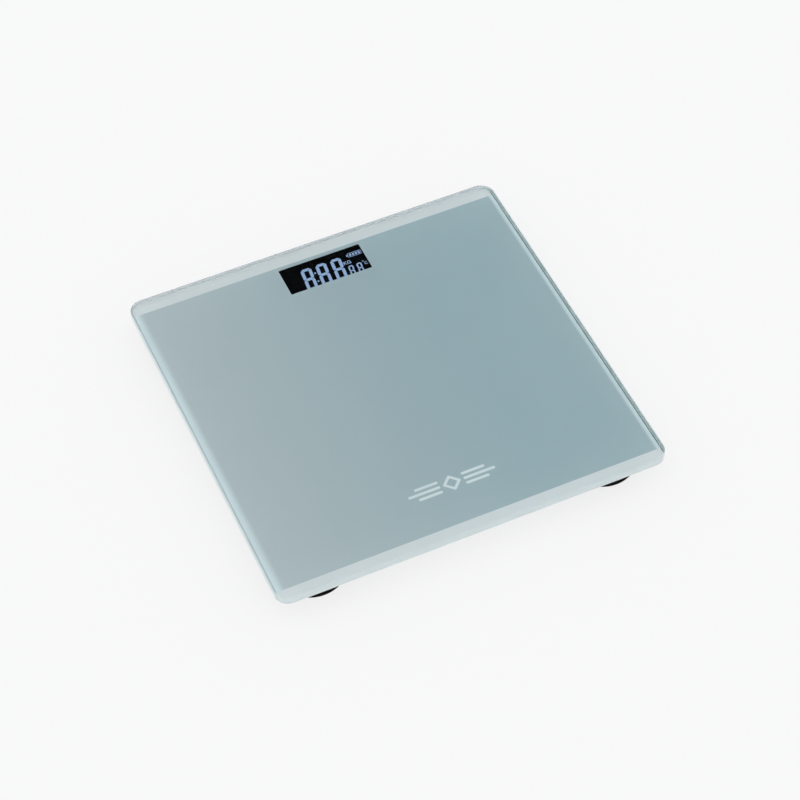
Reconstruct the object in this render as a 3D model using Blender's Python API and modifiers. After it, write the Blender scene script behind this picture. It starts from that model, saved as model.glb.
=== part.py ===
"""Glass bathroom scale: a square tempered-glass platform on four weighing feet, with a lit display.

Frame: origin on the floor under the middle of the glass, +X to the right as the display is read,
+Y to the edge behind the display, +Z up. Sizes below are in millimetres; the helpers turn them
into metres when they make a mesh or place an object.
"""

import math

import bmesh
import bpy
from mathutils import Matrix, Vector

MM = 0.001
GAP = 0.3  # clearance kept between neighbouring pieces
OVERSHOOT = 2.0  # how far a cutter runs past the face it opens
KEY_IN = 0.4  # how deep a joined rib reaches into the wall that carries it

# Glass platform and the printed film behind it
PLATE_SIDE = 280.0
PLATE_CORNER = 10.0
PLATE_BOTTOM = 17.0
PLATE_THICK = 6.0
PLATE_EDGE = 1.4
FILM_THICK = 0.3
FILM_INSET = 1.0
FILM_GAP = 0.1
FILM_TOP = PLATE_BOTTOM - FILM_GAP
FILM_BOTTOM = FILM_TOP - FILM_THICK
WINDOW_CENTRE = (0.3, 114.2)
WINDOW_SIZE = (62.0, 24.8)

# Electronics box under the rear of the glass
BOX_CENTRE = (0.0, 97.0)
BOX_SIZE = (128.0, 74.0)
BOX_CORNER = 6.0
BOX_WALL = 1.6
BOX_TOP = 15.5
BOX_ROOF = 1.2
COVER_BOTTOM = 2.0
COVER_THICK = 1.4
COVER_TOP = COVER_BOTTOM + COVER_THICK
BOX_RIM = COVER_TOP + GAP
ROOF_BELOW = BOX_TOP - BOX_ROOF
BOX_TAPE_THICK = 0.5
BOX_TAPE_SIZE = (122.0, 70.0)
BOX_TAPE_HOLE = (112.0, 60.0)
BOX_TAPE_HOLE_SHIFT = 1.0
BOX_TAPE_CORNER = 4.0
BOX_TAPE_HOLE_CORNER = 3.0

# Display stack, from the viewing face down to the circuit board
LCD_TOP = 12.3
LCD_CENTRE = (0.5, 114.2)
LCD_SIZE = (68.0, 33.0, 2.5)
VIEW_HOLE = (63.6, 26.2)
VIEW_RIM = 2.0
BACKLIGHT_SIZE = (62.0, 27.0, 1.8)
BACKLIGHT_Y = 115.5
ZEBRA_SIZE = (58.0, 2.0, 1.8)
ZEBRA_Y = 99.3
BOARD_CENTRE = (0.0, 110.5)
BOARD_SIZE = (100.0, 42.0, 1.2)
BOARD_CORNER = 1.0
BOARD_TOP = LCD_TOP - LCD_SIZE[2] - GAP - BACKLIGHT_SIZE[2] - GAP
BOARD_BOTTOM = BOARD_TOP - BOARD_SIZE[2]
BLOB_PLACE = (20.0, 106.0)
BLOB_RADIUS = 6.0
BLOB_HEIGHT = 1.1
DOME_STEPS = 4

# Screws: the cover's four and the circuit board's two
COVER_SCREWS = ((-57.0, 67.0), (57.0, 67.0), (-57.0, 127.0), (57.0, 127.0))
COVER_SCREW_TIP = 11.5
BOSS_RADIUS = 3.4
COVER_BOSS_RADIUS = 4.0
COVER_BOSS_RISE = 1.2
COUNTERBORE_RADIUS = 2.6
COUNTERBORE_DEPTH = 1.3
SCREW_HEAD = (2.2, 0.8)
SCREW_SHANK = 1.1
SCREW_POINT = 1.2  # length of a screw's tapered point
SCREW_POINT_SHARE = 0.4  # its end radius, as a share of the shank's
HEAD_CHAMFER = (0.4, 0.3)
BOARD_SCREWS = ((-41.0, 94.0), (41.0, 127.0))
BOARD_SCREW_TIP = 11.8
BOARD_POST_RADIUS = 2.4
BOARD_SCREW_HEAD = (1.9, 0.8)
BOARD_SCREW_SHANK = 0.9

# Unit button and the switch that it presses
BUTTON_PLACE = (-42.0, 103.0)
BUTTON_RADIUS = 3.2
BUTTON_FLANGE = 4.2
BUTTON_FACE = 2.2
BUTTON_FLANGE_BOTTOM = COVER_TOP + GAP
BUTTON_FLANGE_THICK = 0.5
BUTTON_NUB = (1.0, 0.3)
BUTTON_CHAMFER = 0.3
SWITCH_SIZE = (4.5, 4.5, 0.9)

# Batteries, their contacts and the sliding door
BATTERY_RADIUS = 5.25
BATTERY_LENGTH = 44.5
BATTERY_NUB = (1.9, 0.8)
BATTERY_SHOULDER = (0.6, 0.5)
BATTERY_CHAMFER = 0.4
BATTERY_Z = 8.75
BATTERY_ROWS = (67.7, 79.9)
BAY_HALF = 27.0
BAY_REAR = 86.0
BAY_RIB = 1.2
CONTACT_THICK = 0.5
CONTACT_SIZE = (8.0, 8.6)
CONTACT_FACE = BAY_HALF - GAP - CONTACT_THICK
BATTERY_PLAY = 0.4  # between a battery's nub and its contact
BATTERY_END = CONTACT_FACE - BATTERY_PLAY
SPRING_WIRE = 0.3
SPRING_TURNS = 4
COIL_STEPS = 9
SPRING_RADII = (3.6, 2.2)
DOOR_HALF = 27.7
DOOR_FRONT = 60.0
DOOR_REAR = 85.7
DOOR_THICK = 1.2
TONGUE_REACH = 1.8
TONGUE_THICK = 0.5
LEDGE_THICK = 0.6
GRIP_GROOVES = 5
GRIP_PITCH = 2.0
GRIP_SIZE = (22.0, 0.9, 0.4)
GRIP_START = 65.0

# Weighing feet, each built round its own upright axis
FOOT_PLACE = (106.0, 107.5)
FOOT_RADIUS = 23.0
FOOT_TAPE_RADIUS = 21.0
FOOT_TAPE_THICK = 0.6
HOUSING_TOP = FILM_BOTTOM - GAP - FOOT_TAPE_THICK - GAP
HOUSING_ROOF = 1.2
HOUSING_BOTTOM = 8.6
HOUSING_INNER = 20.6
HOUSING_LIP = (20.0, 0.6)
RAIL_SIZE = (3.0, 22.0)
RAIL_X = 12.0
CELL_SIDE = 28.0
CELL_CORNER = 4.0
CELL_TOP = 12.3
CELL_THICK = 2.0
CELL_SLOT = 3.0
CELL_FRAME = 4.0
CELL_SLOT_OVERLAP = 0.5  # how far the end slot stops short of the side slots' outer walls
GAUGE_SIZE = (6.0, 7.0, 0.5)
GAUGE_Y = -4.0
GAUGE_CORNER = 1.0
CAP_BOTTOM = 2.3
CAP_FLOOR = 2.0
CAP_RIM_TOP = 8.0
CAP_RIM_WALL = 1.8
SKIRT = (18.7, 19.7, 20.3)
SKIRT_TOP = 11.2
SKIRT_BEAD = 0.8
CAP_BOSS = 4.5
PAD_RADIUS = 23.2
PAD_BREAK = 0.3
PAD_THICK = CAP_BOTTOM - GAP
PAD_GROOVES = (9.0, 15.5)
PAD_GROOVE = (1.4, 0.6)
EDGE_BREAK = 0.5

# Wires: sensor leads held against the glass, and the battery leads
SENSOR_WIRE = 0.7
WIRE_SPACING = 6.0
LEAD_SPACING = 3.5
WIRE_Z = CELL_TOP + 0.9
WIRE_HOLE = (2.6, 2.2)
TAPED_Z = 15.7
BATTERY_WIRE = 0.5
BOX_WIRE_Z = 12.0
BOX_WIRE_WAY = 3.0
FRONT_WIRE_ENTRY_Y = 76.5
LEAD_START_Z = 11.5
LEAD_WAY = 1.8
CLIP_SIZE = (9.0, 10.0, 2.0)
CLIP_ROWS = (-40.0, 25.0)
CLIP_GROOVE = 2.0
CLIP_CORNER = 1.5

ROUND_STEPS = 32
SMALL_STEPS = 16
BUTTON_STEPS = 24
CORNER_STEPS = 4
SMOOTH_ANGLE = math.radians(32.0)

PARTS = "glass_bathroom_scale"
CUTTERS = "cutters"


# ---------------------------------------------------------------- scene and materials


def clear_scene():
    for obj in list(bpy.data.objects):
        bpy.data.objects.remove(obj, do_unlink=True)
    for name in (PARTS, CUTTERS):
        bpy.context.scene.collection.children.link(bpy.data.collections.new(name))


def make_material(name, colour, roughness, metallic=0.0):
    material = bpy.data.materials.new(name)
    material.use_nodes = True
    shader = material.node_tree.nodes["Principled BSDF"]
    shader.inputs["Base Color"].default_value = (*colour, 1.0)
    shader.inputs["Roughness"].default_value = roughness
    shader.inputs["Metallic"].default_value = metallic
    material.diffuse_color = (*colour, 1.0)
    return material


def make_materials():
    return {
        "glass": make_material("tempered_glass", (0.62, 0.74, 0.74), 0.05),
        "print": make_material("printed_film", (0.36, 0.47, 0.49), 0.5),
        "black": make_material("black_abs", (0.015, 0.015, 0.016), 0.45),
        "foam": make_material("foam_tape", (0.75, 0.75, 0.72), 0.9),
        "rubber": make_material("black_rubber", (0.012, 0.012, 0.012), 0.8),
        "steel": make_material("plated_steel", (0.55, 0.56, 0.57), 0.3, 1.0),
        "lcd": make_material("lcd_glass", (0.004, 0.005, 0.008), 0.15),
        "diffuser": make_material("light_guide", (0.85, 0.87, 0.9), 0.4),
        "silicone": make_material("silicone_strip", (0.55, 0.1, 0.35), 0.6),
        "board": make_material("circuit_board", (0.02, 0.12, 0.05), 0.4),
        "resin": make_material("black_resin", (0.01, 0.01, 0.01), 0.25),
        "button": make_material("grey_button", (0.3, 0.31, 0.32), 0.5),
        "battery": make_material("battery_sleeve", (0.03, 0.03, 0.035), 0.35),
        "gauge": make_material("gauge_coating", (0.7, 0.7, 0.66), 0.5),
        "sleeve": make_material("wire_sleeve", (0.6, 0.6, 0.6), 0.5),
        "red": make_material("red_wire", (0.5, 0.02, 0.02), 0.5),
        "dark": make_material("black_wire", (0.02, 0.02, 0.02), 0.5),
    }


# ---------------------------------------------------------------- modelling helpers


def finish_mesh(mesh):
    mesh.shade_smooth()
    mesh.set_sharp_from_angle(angle=SMOOTH_ANGLE)
    return mesh


def place(name, mesh, material, location=(0.0, 0.0, 0.0), parent=None, turn=0.0):
    """Adds an object for this mesh to the parts; location in millimetres."""
    obj = bpy.data.objects.new(name, mesh)
    obj.location = Vector(location) * MM
    obj.rotation_euler = (0.0, 0.0, turn)
    obj.parent = parent
    if not mesh.materials:
        mesh.materials.append(material)
    bpy.data.collections[PARTS].objects.link(obj)
    return obj


def as_cutter(obj):
    bpy.data.collections[PARTS].objects.unlink(obj)
    bpy.data.collections[CUTTERS].objects.link(obj)
    obj.hide_render = True
    obj.display_type = "WIRE"
    return obj


def block_mesh(name, size, corner=0.0):
    """A box round its own centre, its upright edges rounded to the corner radius."""
    mesh = bpy.data.meshes.new(name)
    shape = bmesh.new()
    bmesh.ops.create_cube(shape, size=1.0)
    bmesh.ops.scale(shape, vec=Vector(size) * MM, verts=shape.verts)
    if corner:
        upright = [e for e in shape.edges if abs(e.verts[0].co.z - e.verts[1].co.z) > size[2] * MM / 2]
        bmesh.ops.bevel(
            shape,
            geom=upright,
            offset=corner * MM,
            segments=CORNER_STEPS,
            profile=0.5,
            affect="EDGES",
        )
    shape.to_mesh(mesh)
    shape.free()
    return finish_mesh(mesh)


def block(name, material, size, bottom_centre, corner=0.0):
    """A rounded box that stands on the point below its middle."""
    x, y, bottom = bottom_centre
    return place(name, block_mesh(name, size, corner), material, (x, y, bottom + size[2] / 2))


def rod_mesh(name, radius, length, steps=SMALL_STEPS):
    mesh = bpy.data.meshes.new(name)
    shape = bmesh.new()
    bmesh.ops.create_cone(
        shape,
        cap_ends=True,
        segments=steps,
        radius1=radius * MM,
        radius2=radius * MM,
        depth=length * MM,
    )
    shape.to_mesh(mesh)
    shape.free()
    return finish_mesh(mesh)


def rod(name, material, radius, bottom, top, centre, steps=SMALL_STEPS):
    middle = (centre[0], centre[1], (bottom + top) / 2)
    return place(name, rod_mesh(name, radius, top - bottom, steps), material, middle)


def add_boolean(target, other, operation):
    modifier = target.modifiers.new(f"{operation.lower()} {other.name}", "BOOLEAN")
    modifier.operation = operation
    modifier.solver = "EXACT"
    modifier.object = as_cutter(other)


def cut(target, other):
    add_boolean(target, other, "DIFFERENCE")


def join(target, other):
    add_boolean(target, other, "UNION")


def turned_mesh(name, profile, steps=ROUND_STEPS):
    """Turns (radius, height) points, run down the outer side, into a solid with both ends on the axis."""
    mesh = bpy.data.meshes.new(name)
    points = [(radius * MM, 0.0, height * MM) for radius, height in profile]
    mesh.from_pydata(points, [(i, i + 1) for i in range(len(points) - 1)], [])
    obj = place(name, mesh, None)
    screw = obj.modifiers.new("turn", "SCREW")
    screw.steps = steps
    screw.render_steps = steps
    screw.use_merge_vertices = True
    screw.merge_threshold = 0.00001
    return bake(obj, name)


def bake(obj, name):
    """Replaces an object by the plain mesh that its modifiers make, in its own frame."""
    bpy.context.view_layer.update()
    graph = bpy.context.evaluated_depsgraph_get()
    mesh = bpy.data.meshes.new_from_object(obj.evaluated_get(graph))
    helpers = [m.object for m in obj.modifiers if m.type == "BOOLEAN"]
    for old in [obj, *helpers]:
        bpy.data.objects.remove(old, do_unlink=True)
    mesh.name = name
    return finish_mesh(mesh)


def smooth_route(knots, spacing):
    """Points about `spacing` apart along a Catmull-Rom curve through the knots."""
    knots = [Vector(k) for k in knots]
    ends = [2 * knots[0] - knots[1], *knots, 2 * knots[-1] - knots[-2]]
    route = [knots[0]]
    for before, start, end, after in zip(ends, ends[1:], ends[2:], ends[3:]):
        count = max(1, round((end - start).length / spacing))
        for step in range(1, count + 1):
            t = step / count
            route.append(
                0.5
                * (
                    2 * start
                    + (end - before) * t
                    + (2 * before - 5 * start + 4 * end - after) * t**2
                    + (3 * start - before - 3 * end + after) * t**3
                )
            )
    return route


def wire(name, material, points, radius):
    """A round wire through the points, in millimetres, with filled ends."""
    curve = bpy.data.curves.new(name, "CURVE")
    curve.dimensions = "3D"
    curve.bevel_depth = radius * MM
    curve.bevel_resolution = 2
    curve.use_fill_caps = True
    spline = curve.splines.new("POLY")
    spline.points.add(len(points) - 1)
    for target, point in zip(spline.points, points):
        target.co = (*(Vector(point) * MM), 1.0)
    obj = bpy.data.objects.new(name, curve)
    curve.materials.append(material)
    bpy.data.collections[PARTS].objects.link(obj)
    return obj


# ---------------------------------------------------------------- platform


def make_platform(materials):
    plate = block(
        "glass_platform",
        materials["glass"],
        (PLATE_SIDE, PLATE_SIDE, PLATE_THICK),
        (0, 0, PLATE_BOTTOM),
        PLATE_CORNER,
    )
    edge = plate.modifiers.new("pencil edge", "BEVEL")
    edge.width = PLATE_EDGE * MM
    edge.segments = 3
    edge.limit_method = "ANGLE"
    edge.angle_limit = math.radians(60.0)

    side = PLATE_SIDE - 2 * FILM_INSET
    film = block(
        "printed_film",
        materials["print"],
        (side, side, FILM_THICK),
        (0, 0, FILM_BOTTOM),
        PLATE_CORNER - FILM_INSET,
    )
    window_size = (*WINDOW_SIZE, FILM_THICK + 2 * OVERSHOOT)
    cut(film, block("window_cutter", None, window_size, (*WINDOW_CENTRE, FILM_BOTTOM - OVERSHOOT)))


# ---------------------------------------------------------------- electronics box


def make_box_tape(materials):
    bottom = BOX_TOP + GAP
    size = (*BOX_TAPE_SIZE, BOX_TAPE_THICK)
    tape = block("box_tape", materials["foam"], size, (*BOX_CENTRE, bottom), BOX_TAPE_CORNER)
    hole_place = (BOX_CENTRE[0], BOX_CENTRE[1] + BOX_TAPE_HOLE_SHIFT, bottom - OVERSHOOT)
    hole_size = (*BOX_TAPE_HOLE, BOX_TAPE_THICK + 2 * OVERSHOOT)
    cut(tape, block("tape_cutter", None, hole_size, hole_place, BOX_TAPE_HOLE_CORNER))


def add_bay_ribs(housing):
    """Three ribs that, with the front wall, box the batteries in."""
    height = ROOF_BELOW + KEY_IN - BOX_RIM
    front = BOX_CENTRE[1] - BOX_SIZE[1] / 2 + BOX_WALL - KEY_IN
    rear = BAY_REAR + BAY_RIB
    across = (2 * (BAY_HALF + BAY_RIB), BAY_RIB, height)
    join(housing, block("bay_rear_rib", None, across, (0, rear - BAY_RIB / 2, BOX_RIM)))
    for sign, side in ((-1, "left"), (1, "right")):
        size = (BAY_RIB, rear - BAY_RIB / 2 - front, height)
        middle = (sign * (BAY_HALF + BAY_RIB / 2), (front + rear - BAY_RIB / 2) / 2, BOX_RIM)
        join(housing, block(f"bay_{side}_rib", None, size, middle))


def add_posts(housing):
    """Screw bosses down to the cover, and posts down to the circuit board, all with blind pilot holes."""
    cover_boss_top = COVER_TOP + COVER_BOSS_RISE
    posts = [(p, BOSS_RADIUS, SCREW_SHANK, cover_boss_top + GAP, COVER_SCREW_TIP) for p in COVER_SCREWS]
    posts += [
        (p, BOARD_POST_RADIUS, BOARD_SCREW_SHANK, BOARD_TOP + GAP, BOARD_SCREW_TIP) for p in BOARD_SCREWS
    ]
    for number, (centre, radius, shank, foot, tip) in enumerate(posts):
        join(housing, rod(f"post_{number}", None, radius, foot, ROOF_BELOW + KEY_IN, centre))
        pilot = rod(f"pilot_{number}", None, shank + GAP, foot - OVERSHOOT, tip + GAP, centre)
        cut(housing, pilot)


def cut_wire_ways(housing):
    """Holes for the four sensor wires in the side walls and for the battery leads in the right rib."""
    wall_x = BOX_SIZE[0] / 2 - BOX_WALL / 2
    through = BOX_WALL + 2 * OVERSHOOT
    for sign, side in ((-1, "left"), (1, "right")):
        for y, row in ((FRONT_WIRE_ENTRY_Y, "front"), (FOOT_PLACE[1], "rear")):
            size = (through, BOX_WIRE_WAY, BOX_WIRE_WAY)
            middle = (sign * wall_x, y, BOX_WIRE_Z - BOX_WIRE_WAY / 2)
            cut(housing, block(f"{row}_{side}_way", None, size, middle))
    for y in BATTERY_ROWS:
        size = (BAY_RIB + OVERSHOOT, LEAD_WAY, LEAD_WAY)
        middle = (BAY_HALF + BAY_RIB / 2, y, LEAD_START_Z - LEAD_WAY / 2)
        cut(housing, block(f"lead_way_{y:.0f}", None, size, middle))


def make_housing(materials):
    housing = block(
        "display_housing",
        materials["black"],
        (*BOX_SIZE, BOX_TOP - BOX_RIM),
        (*BOX_CENTRE, BOX_RIM),
        BOX_CORNER,
    )
    hollow_size = (
        BOX_SIZE[0] - 2 * BOX_WALL,
        BOX_SIZE[1] - 2 * BOX_WALL,
        ROOF_BELOW - BOX_RIM + OVERSHOOT,
    )
    hollow_place = (*BOX_CENTRE, BOX_RIM - OVERSHOOT)
    cut(housing, block("box_hollow", None, hollow_size, hollow_place, BOX_CORNER - BOX_WALL))
    rim_size = (VIEW_HOLE[0] + 2 * VIEW_RIM, VIEW_HOLE[1] + 2 * VIEW_RIM, ROOF_BELOW + KEY_IN - LCD_TOP - GAP)
    join(housing, block("view_rim", None, rim_size, (*WINDOW_CENTRE, LCD_TOP + GAP)))
    view_size = (*VIEW_HOLE, BOX_TOP - LCD_TOP + 2 * OVERSHOOT)
    cut(housing, block("view_hole", None, view_size, (*WINDOW_CENTRE, LCD_TOP - OVERSHOOT)))
    add_bay_ribs(housing)
    add_posts(housing)
    cut_wire_ways(housing)


def make_cover(materials):
    cover = block(
        "display_cover", materials["black"], (*BOX_SIZE, COVER_THICK), (*BOX_CENTRE, COVER_BOTTOM), BOX_CORNER
    )
    opening_rear = DOOR_REAR + GAP
    front = DOOR_FRONT - OVERSHOOT
    length = opening_rear - front
    middle_y = (opening_rear + front) / 2
    ledge_inner = DOOR_HALF + GAP
    slot_half = DOOR_HALF + TONGUE_REACH + GAP
    cut(
        cover,
        block(
            "door_opening",
            None,
            (2 * ledge_inner, length, COVER_THICK + 2 * OVERSHOOT),
            (0, middle_y, COVER_BOTTOM - OVERSHOOT),
        ),
    )
    cut(
        cover,
        block(
            "tongue_slot",
            None,
            (2 * slot_half, length, COVER_THICK),
            (0, middle_y, COVER_BOTTOM + LEDGE_THICK),
        ),
    )
    for number, centre in enumerate(COVER_SCREWS):
        top = COVER_TOP + COVER_BOSS_RISE
        join(cover, rod(f"cover_boss_{number}", None, COVER_BOSS_RADIUS, COVER_TOP - KEY_IN, top, centre))
        bore_radius = SCREW_SHANK + GAP
        bore_bottom = COVER_BOTTOM - OVERSHOOT
        cut(cover, rod(f"cover_bore_{number}", None, bore_radius, bore_bottom, top + OVERSHOOT, centre))
        depth_top = COVER_BOTTOM + COUNTERBORE_DEPTH
        cut(cover, rod(f"counterbore_{number}", None, COUNTERBORE_RADIUS, bore_bottom, depth_top, centre))
    hole_top = COVER_TOP + OVERSHOOT
    hole_bottom = COVER_BOTTOM - OVERSHOOT
    hole_radius = BUTTON_RADIUS + GAP
    cut(cover, rod("button_hole", None, hole_radius, hole_bottom, hole_top, BUTTON_PLACE, BUTTON_STEPS))


def make_door(materials):
    """A flat lid with a tongue along each side that runs on the cover's ledges."""
    length = DOOR_REAR - DOOR_FRONT
    middle_y = (DOOR_REAR + DOOR_FRONT) / 2
    door = block(
        "battery_door", materials["black"], (2 * DOOR_HALF, length, DOOR_THICK), (0, middle_y, COVER_BOTTOM)
    )
    tongue_bottom = COVER_BOTTOM + LEDGE_THICK + GAP
    for sign, side in ((-1, "left"), (1, "right")):
        width = TONGUE_REACH + KEY_IN
        middle_x = sign * (DOOR_HALF + (TONGUE_REACH - KEY_IN) / 2)
        tongue = block(
            f"door_tongue_{side}", None, (width, length, TONGUE_THICK), (middle_x, middle_y, tongue_bottom)
        )
        join(door, tongue)
    for number in range(GRIP_GROOVES):
        width, breadth, depth = GRIP_SIZE
        y = GRIP_START + number * GRIP_PITCH
        size = (width, breadth, depth + OVERSHOOT)
        cut(door, block(f"grip_{number}", None, size, (0, y, COVER_BOTTOM - OVERSHOOT)))


def screw_profile(head_bottom, head, shank, tip):
    head_radius, head_height = head
    head_top = head_bottom + head_height
    return [
        (0, tip),
        (shank * SCREW_POINT_SHARE, tip),
        (shank, tip - SCREW_POINT),
        (shank, head_top),
        (head_radius, head_top),
        (head_radius, head_bottom + HEAD_CHAMFER[1]),
        (head_radius - HEAD_CHAMFER[0], head_bottom),
        (0, head_bottom),
    ]


def make_screws(materials):
    cover_head_bottom = COVER_BOTTOM + COUNTERBORE_DEPTH - GAP - SCREW_HEAD[1]
    profile = screw_profile(cover_head_bottom, SCREW_HEAD, SCREW_SHANK, COVER_SCREW_TIP)
    mesh = turned_mesh("cover_screw", profile, SMALL_STEPS)
    for number, centre in enumerate(COVER_SCREWS, 1):
        place(f"cover_screw_{number}", mesh, materials["steel"], (*centre, 0))
    board_head_bottom = BOARD_BOTTOM - GAP - BOARD_SCREW_HEAD[1]
    profile = screw_profile(board_head_bottom, BOARD_SCREW_HEAD, BOARD_SCREW_SHANK, BOARD_SCREW_TIP)
    mesh = turned_mesh("board_screw", profile, SMALL_STEPS)
    for number, centre in enumerate(BOARD_SCREWS, 1):
        place(f"board_screw_{number}", mesh, materials["steel"], (*centre, 0))


# ---------------------------------------------------------------- display and electronics


def make_display(materials):
    lcd_bottom = LCD_TOP - LCD_SIZE[2]
    light_bottom = lcd_bottom - GAP - BACKLIGHT_SIZE[2]
    block("lcd_panel", materials["lcd"], LCD_SIZE, (*LCD_CENTRE, lcd_bottom))
    block("lcd_backlight", materials["diffuser"], BACKLIGHT_SIZE, (LCD_CENTRE[0], BACKLIGHT_Y, light_bottom))
    block("zebra_connector", materials["silicone"], ZEBRA_SIZE, (LCD_CENTRE[0], ZEBRA_Y, light_bottom))
    board_place = (*BOARD_CENTRE, BOARD_BOTTOM)
    board = block("circuit_board", materials["board"], BOARD_SIZE, board_place, BOARD_CORNER)
    for number, centre in enumerate(BOARD_SCREWS):
        radius = BOARD_SCREW_SHANK + GAP
        hole_bottom = BOARD_BOTTOM - OVERSHOOT
        cut(board, rod(f"board_hole_{number}", None, radius, hole_bottom, BOARD_TOP + OVERSHOOT, centre))

    top = BOARD_BOTTOM - GAP
    dome = [(0, top), (BLOB_RADIUS, top)]
    for step in range(1, DOME_STEPS + 1):
        angle = step / DOME_STEPS * math.pi / 2
        dome.append((BLOB_RADIUS * math.cos(angle), top - BLOB_HEIGHT * math.sin(angle)))
    dome[-1] = (0, top - BLOB_HEIGHT)
    blob = turned_mesh("controller_blob", dome, BUTTON_STEPS)
    place("controller_blob", blob, materials["resin"], (*BLOB_PLACE, 0))
    block("unit_switch", materials["steel"], SWITCH_SIZE, (*BUTTON_PLACE, top - SWITCH_SIZE[2]))


def make_button(materials):
    nub_radius, nub_height = BUTTON_NUB
    flange_top = BUTTON_FLANGE_BOTTOM + BUTTON_FLANGE_THICK
    profile = [
        (0, flange_top + nub_height),
        (nub_radius, flange_top + nub_height),
        (nub_radius, flange_top),
        (BUTTON_FLANGE, flange_top),
        (BUTTON_FLANGE, BUTTON_FLANGE_BOTTOM),
        (BUTTON_RADIUS, BUTTON_FLANGE_BOTTOM),
        (BUTTON_RADIUS, BUTTON_FACE + BUTTON_CHAMFER),
        (BUTTON_RADIUS - BUTTON_CHAMFER, BUTTON_FACE),
        (0, BUTTON_FACE),
    ]
    button = turned_mesh("unit_button", profile, BUTTON_STEPS)
    place("unit_button", button, materials["button"], (*BUTTON_PLACE, 0))


# ---------------------------------------------------------------- batteries and contacts


def make_batteries(materials):
    half = BATTERY_LENGTH / 2
    nub_radius, nub_height = BATTERY_NUB
    shoulder = half - nub_height
    profile = [
        (0, half),
        (nub_radius, half),
        (nub_radius, shoulder),
        (BATTERY_RADIUS - BATTERY_SHOULDER[0], shoulder),
        (BATTERY_RADIUS, shoulder - BATTERY_SHOULDER[1]),
        (BATTERY_RADIUS, BATTERY_CHAMFER - half),
        (BATTERY_RADIUS - BATTERY_CHAMFER, -half),
        (0, -half),
    ]
    mesh = turned_mesh("battery", profile, BUTTON_STEPS)
    middle = BATTERY_END - half
    for name, y, sign in (("battery_front", BATTERY_ROWS[0], 1), ("battery_rear", BATTERY_ROWS[1], -1)):
        obj = place(name, mesh, materials["battery"], (sign * middle, y, BATTERY_Z))
        obj.rotation_euler = (0.0, sign * math.pi / 2, 0.0)


def make_contacts(materials):
    width, height = CONTACT_SIZE
    bottom = BATTERY_Z - height / 2
    middle_x = CONTACT_FACE + CONTACT_THICK / 2
    front, rear = BATTERY_ROWS
    steel = materials["steel"]
    block("contact_positive", steel, (CONTACT_THICK, width, height), (middle_x, front, bottom))
    block("contact_negative", steel, (CONTACT_THICK, width, height), (middle_x, rear, bottom))
    bridge = (CONTACT_THICK, rear - front + width, height)
    block("contact_bridge", steel, bridge, (-middle_x, (front + rear) / 2, bottom))

    battery_tail = BATTERY_END - BATTERY_LENGTH
    coil_start = CONTACT_FACE - GAP - SPRING_WIRE
    coil_end = -battery_tail + GAP + SPRING_WIRE
    for name, y, sign in (("spring_front", front, -1), ("spring_rear", rear, 1)):
        points = []
        for step in range(SPRING_TURNS * COIL_STEPS + 1):
            share = step / (SPRING_TURNS * COIL_STEPS)
            angle = share * SPRING_TURNS * 2 * math.pi
            radius = SPRING_RADII[0] + share * (SPRING_RADII[1] - SPRING_RADII[0])
            x = sign * (coil_start + share * (coil_end - coil_start))
            points.append((x, y + radius * math.cos(angle), BATTERY_Z + radius * math.sin(angle)))
        wire(name, steel, points, SPRING_WIRE)


# ---------------------------------------------------------------- weighing feet


def foot_housing_mesh():
    """An upside-down cup with two rails that the sensor's frame bears on, and a way out for its wire."""
    roof_below = HOUSING_TOP - HOUSING_ROOF
    lip_radius, lip_height = HOUSING_LIP
    profile = [
        (0, HOUSING_TOP),
        (FOOT_RADIUS - EDGE_BREAK, HOUSING_TOP),
        (FOOT_RADIUS, HOUSING_TOP - EDGE_BREAK),
        (FOOT_RADIUS, HOUSING_BOTTOM),
        (lip_radius, HOUSING_BOTTOM),
        (lip_radius, HOUSING_BOTTOM + lip_height),
        (HOUSING_INNER, HOUSING_BOTTOM + lip_height),
        (HOUSING_INNER, roof_below),
        (0, roof_below),
    ]
    housing = place("foot_housing", turned_mesh("foot_housing", profile), None)
    rail_bottom = CELL_TOP + GAP
    for sign in (-1, 1):
        size = (*RAIL_SIZE, roof_below + KEY_IN - rail_bottom)
        join(housing, block(f"rail_{sign}", None, size, (sign * RAIL_X, 0, rail_bottom)))
    width, height = WIRE_HOLE
    way_middle = (FOOT_RADIUS + HOUSING_INNER) / 2
    way_length = FOOT_RADIUS - HOUSING_INNER + 2 * OVERSHOOT
    cut(housing, block("wire_way", None, (width, way_length, height), (0, way_middle, WIRE_Z - height / 2)))
    return bake(housing, "foot_housing")


def load_cell_mesh():
    """A square steel spring plate: slots on three sides leave a tongue that the foot presses."""
    bottom = CELL_TOP - CELL_THICK
    cell = block("load_cell", None, (CELL_SIDE, CELL_SIDE, CELL_THICK), (0, 0, bottom), CELL_CORNER)
    half = CELL_SIDE / 2 - CELL_FRAME
    centre = half - CELL_SLOT / 2
    depth = CELL_THICK + 2 * OVERSHOOT
    for sign in (-1, 1):
        size = (CELL_SLOT, 2 * half, depth)
        cut(cell, block(f"side_slot_{sign}", None, size, (sign * centre, 0, bottom - OVERSHOOT)))
    end_size = (2 * (half - CELL_SLOT_OVERLAP), CELL_SLOT, depth)
    cut(cell, block("end_slot", None, end_size, (0, centre, bottom - OVERSHOOT)))
    mesh = bake(cell, "load_cell")
    mesh.transform(Matrix.Translation((0, 0, (bottom + CELL_THICK / 2) * MM)))
    return mesh


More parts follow.
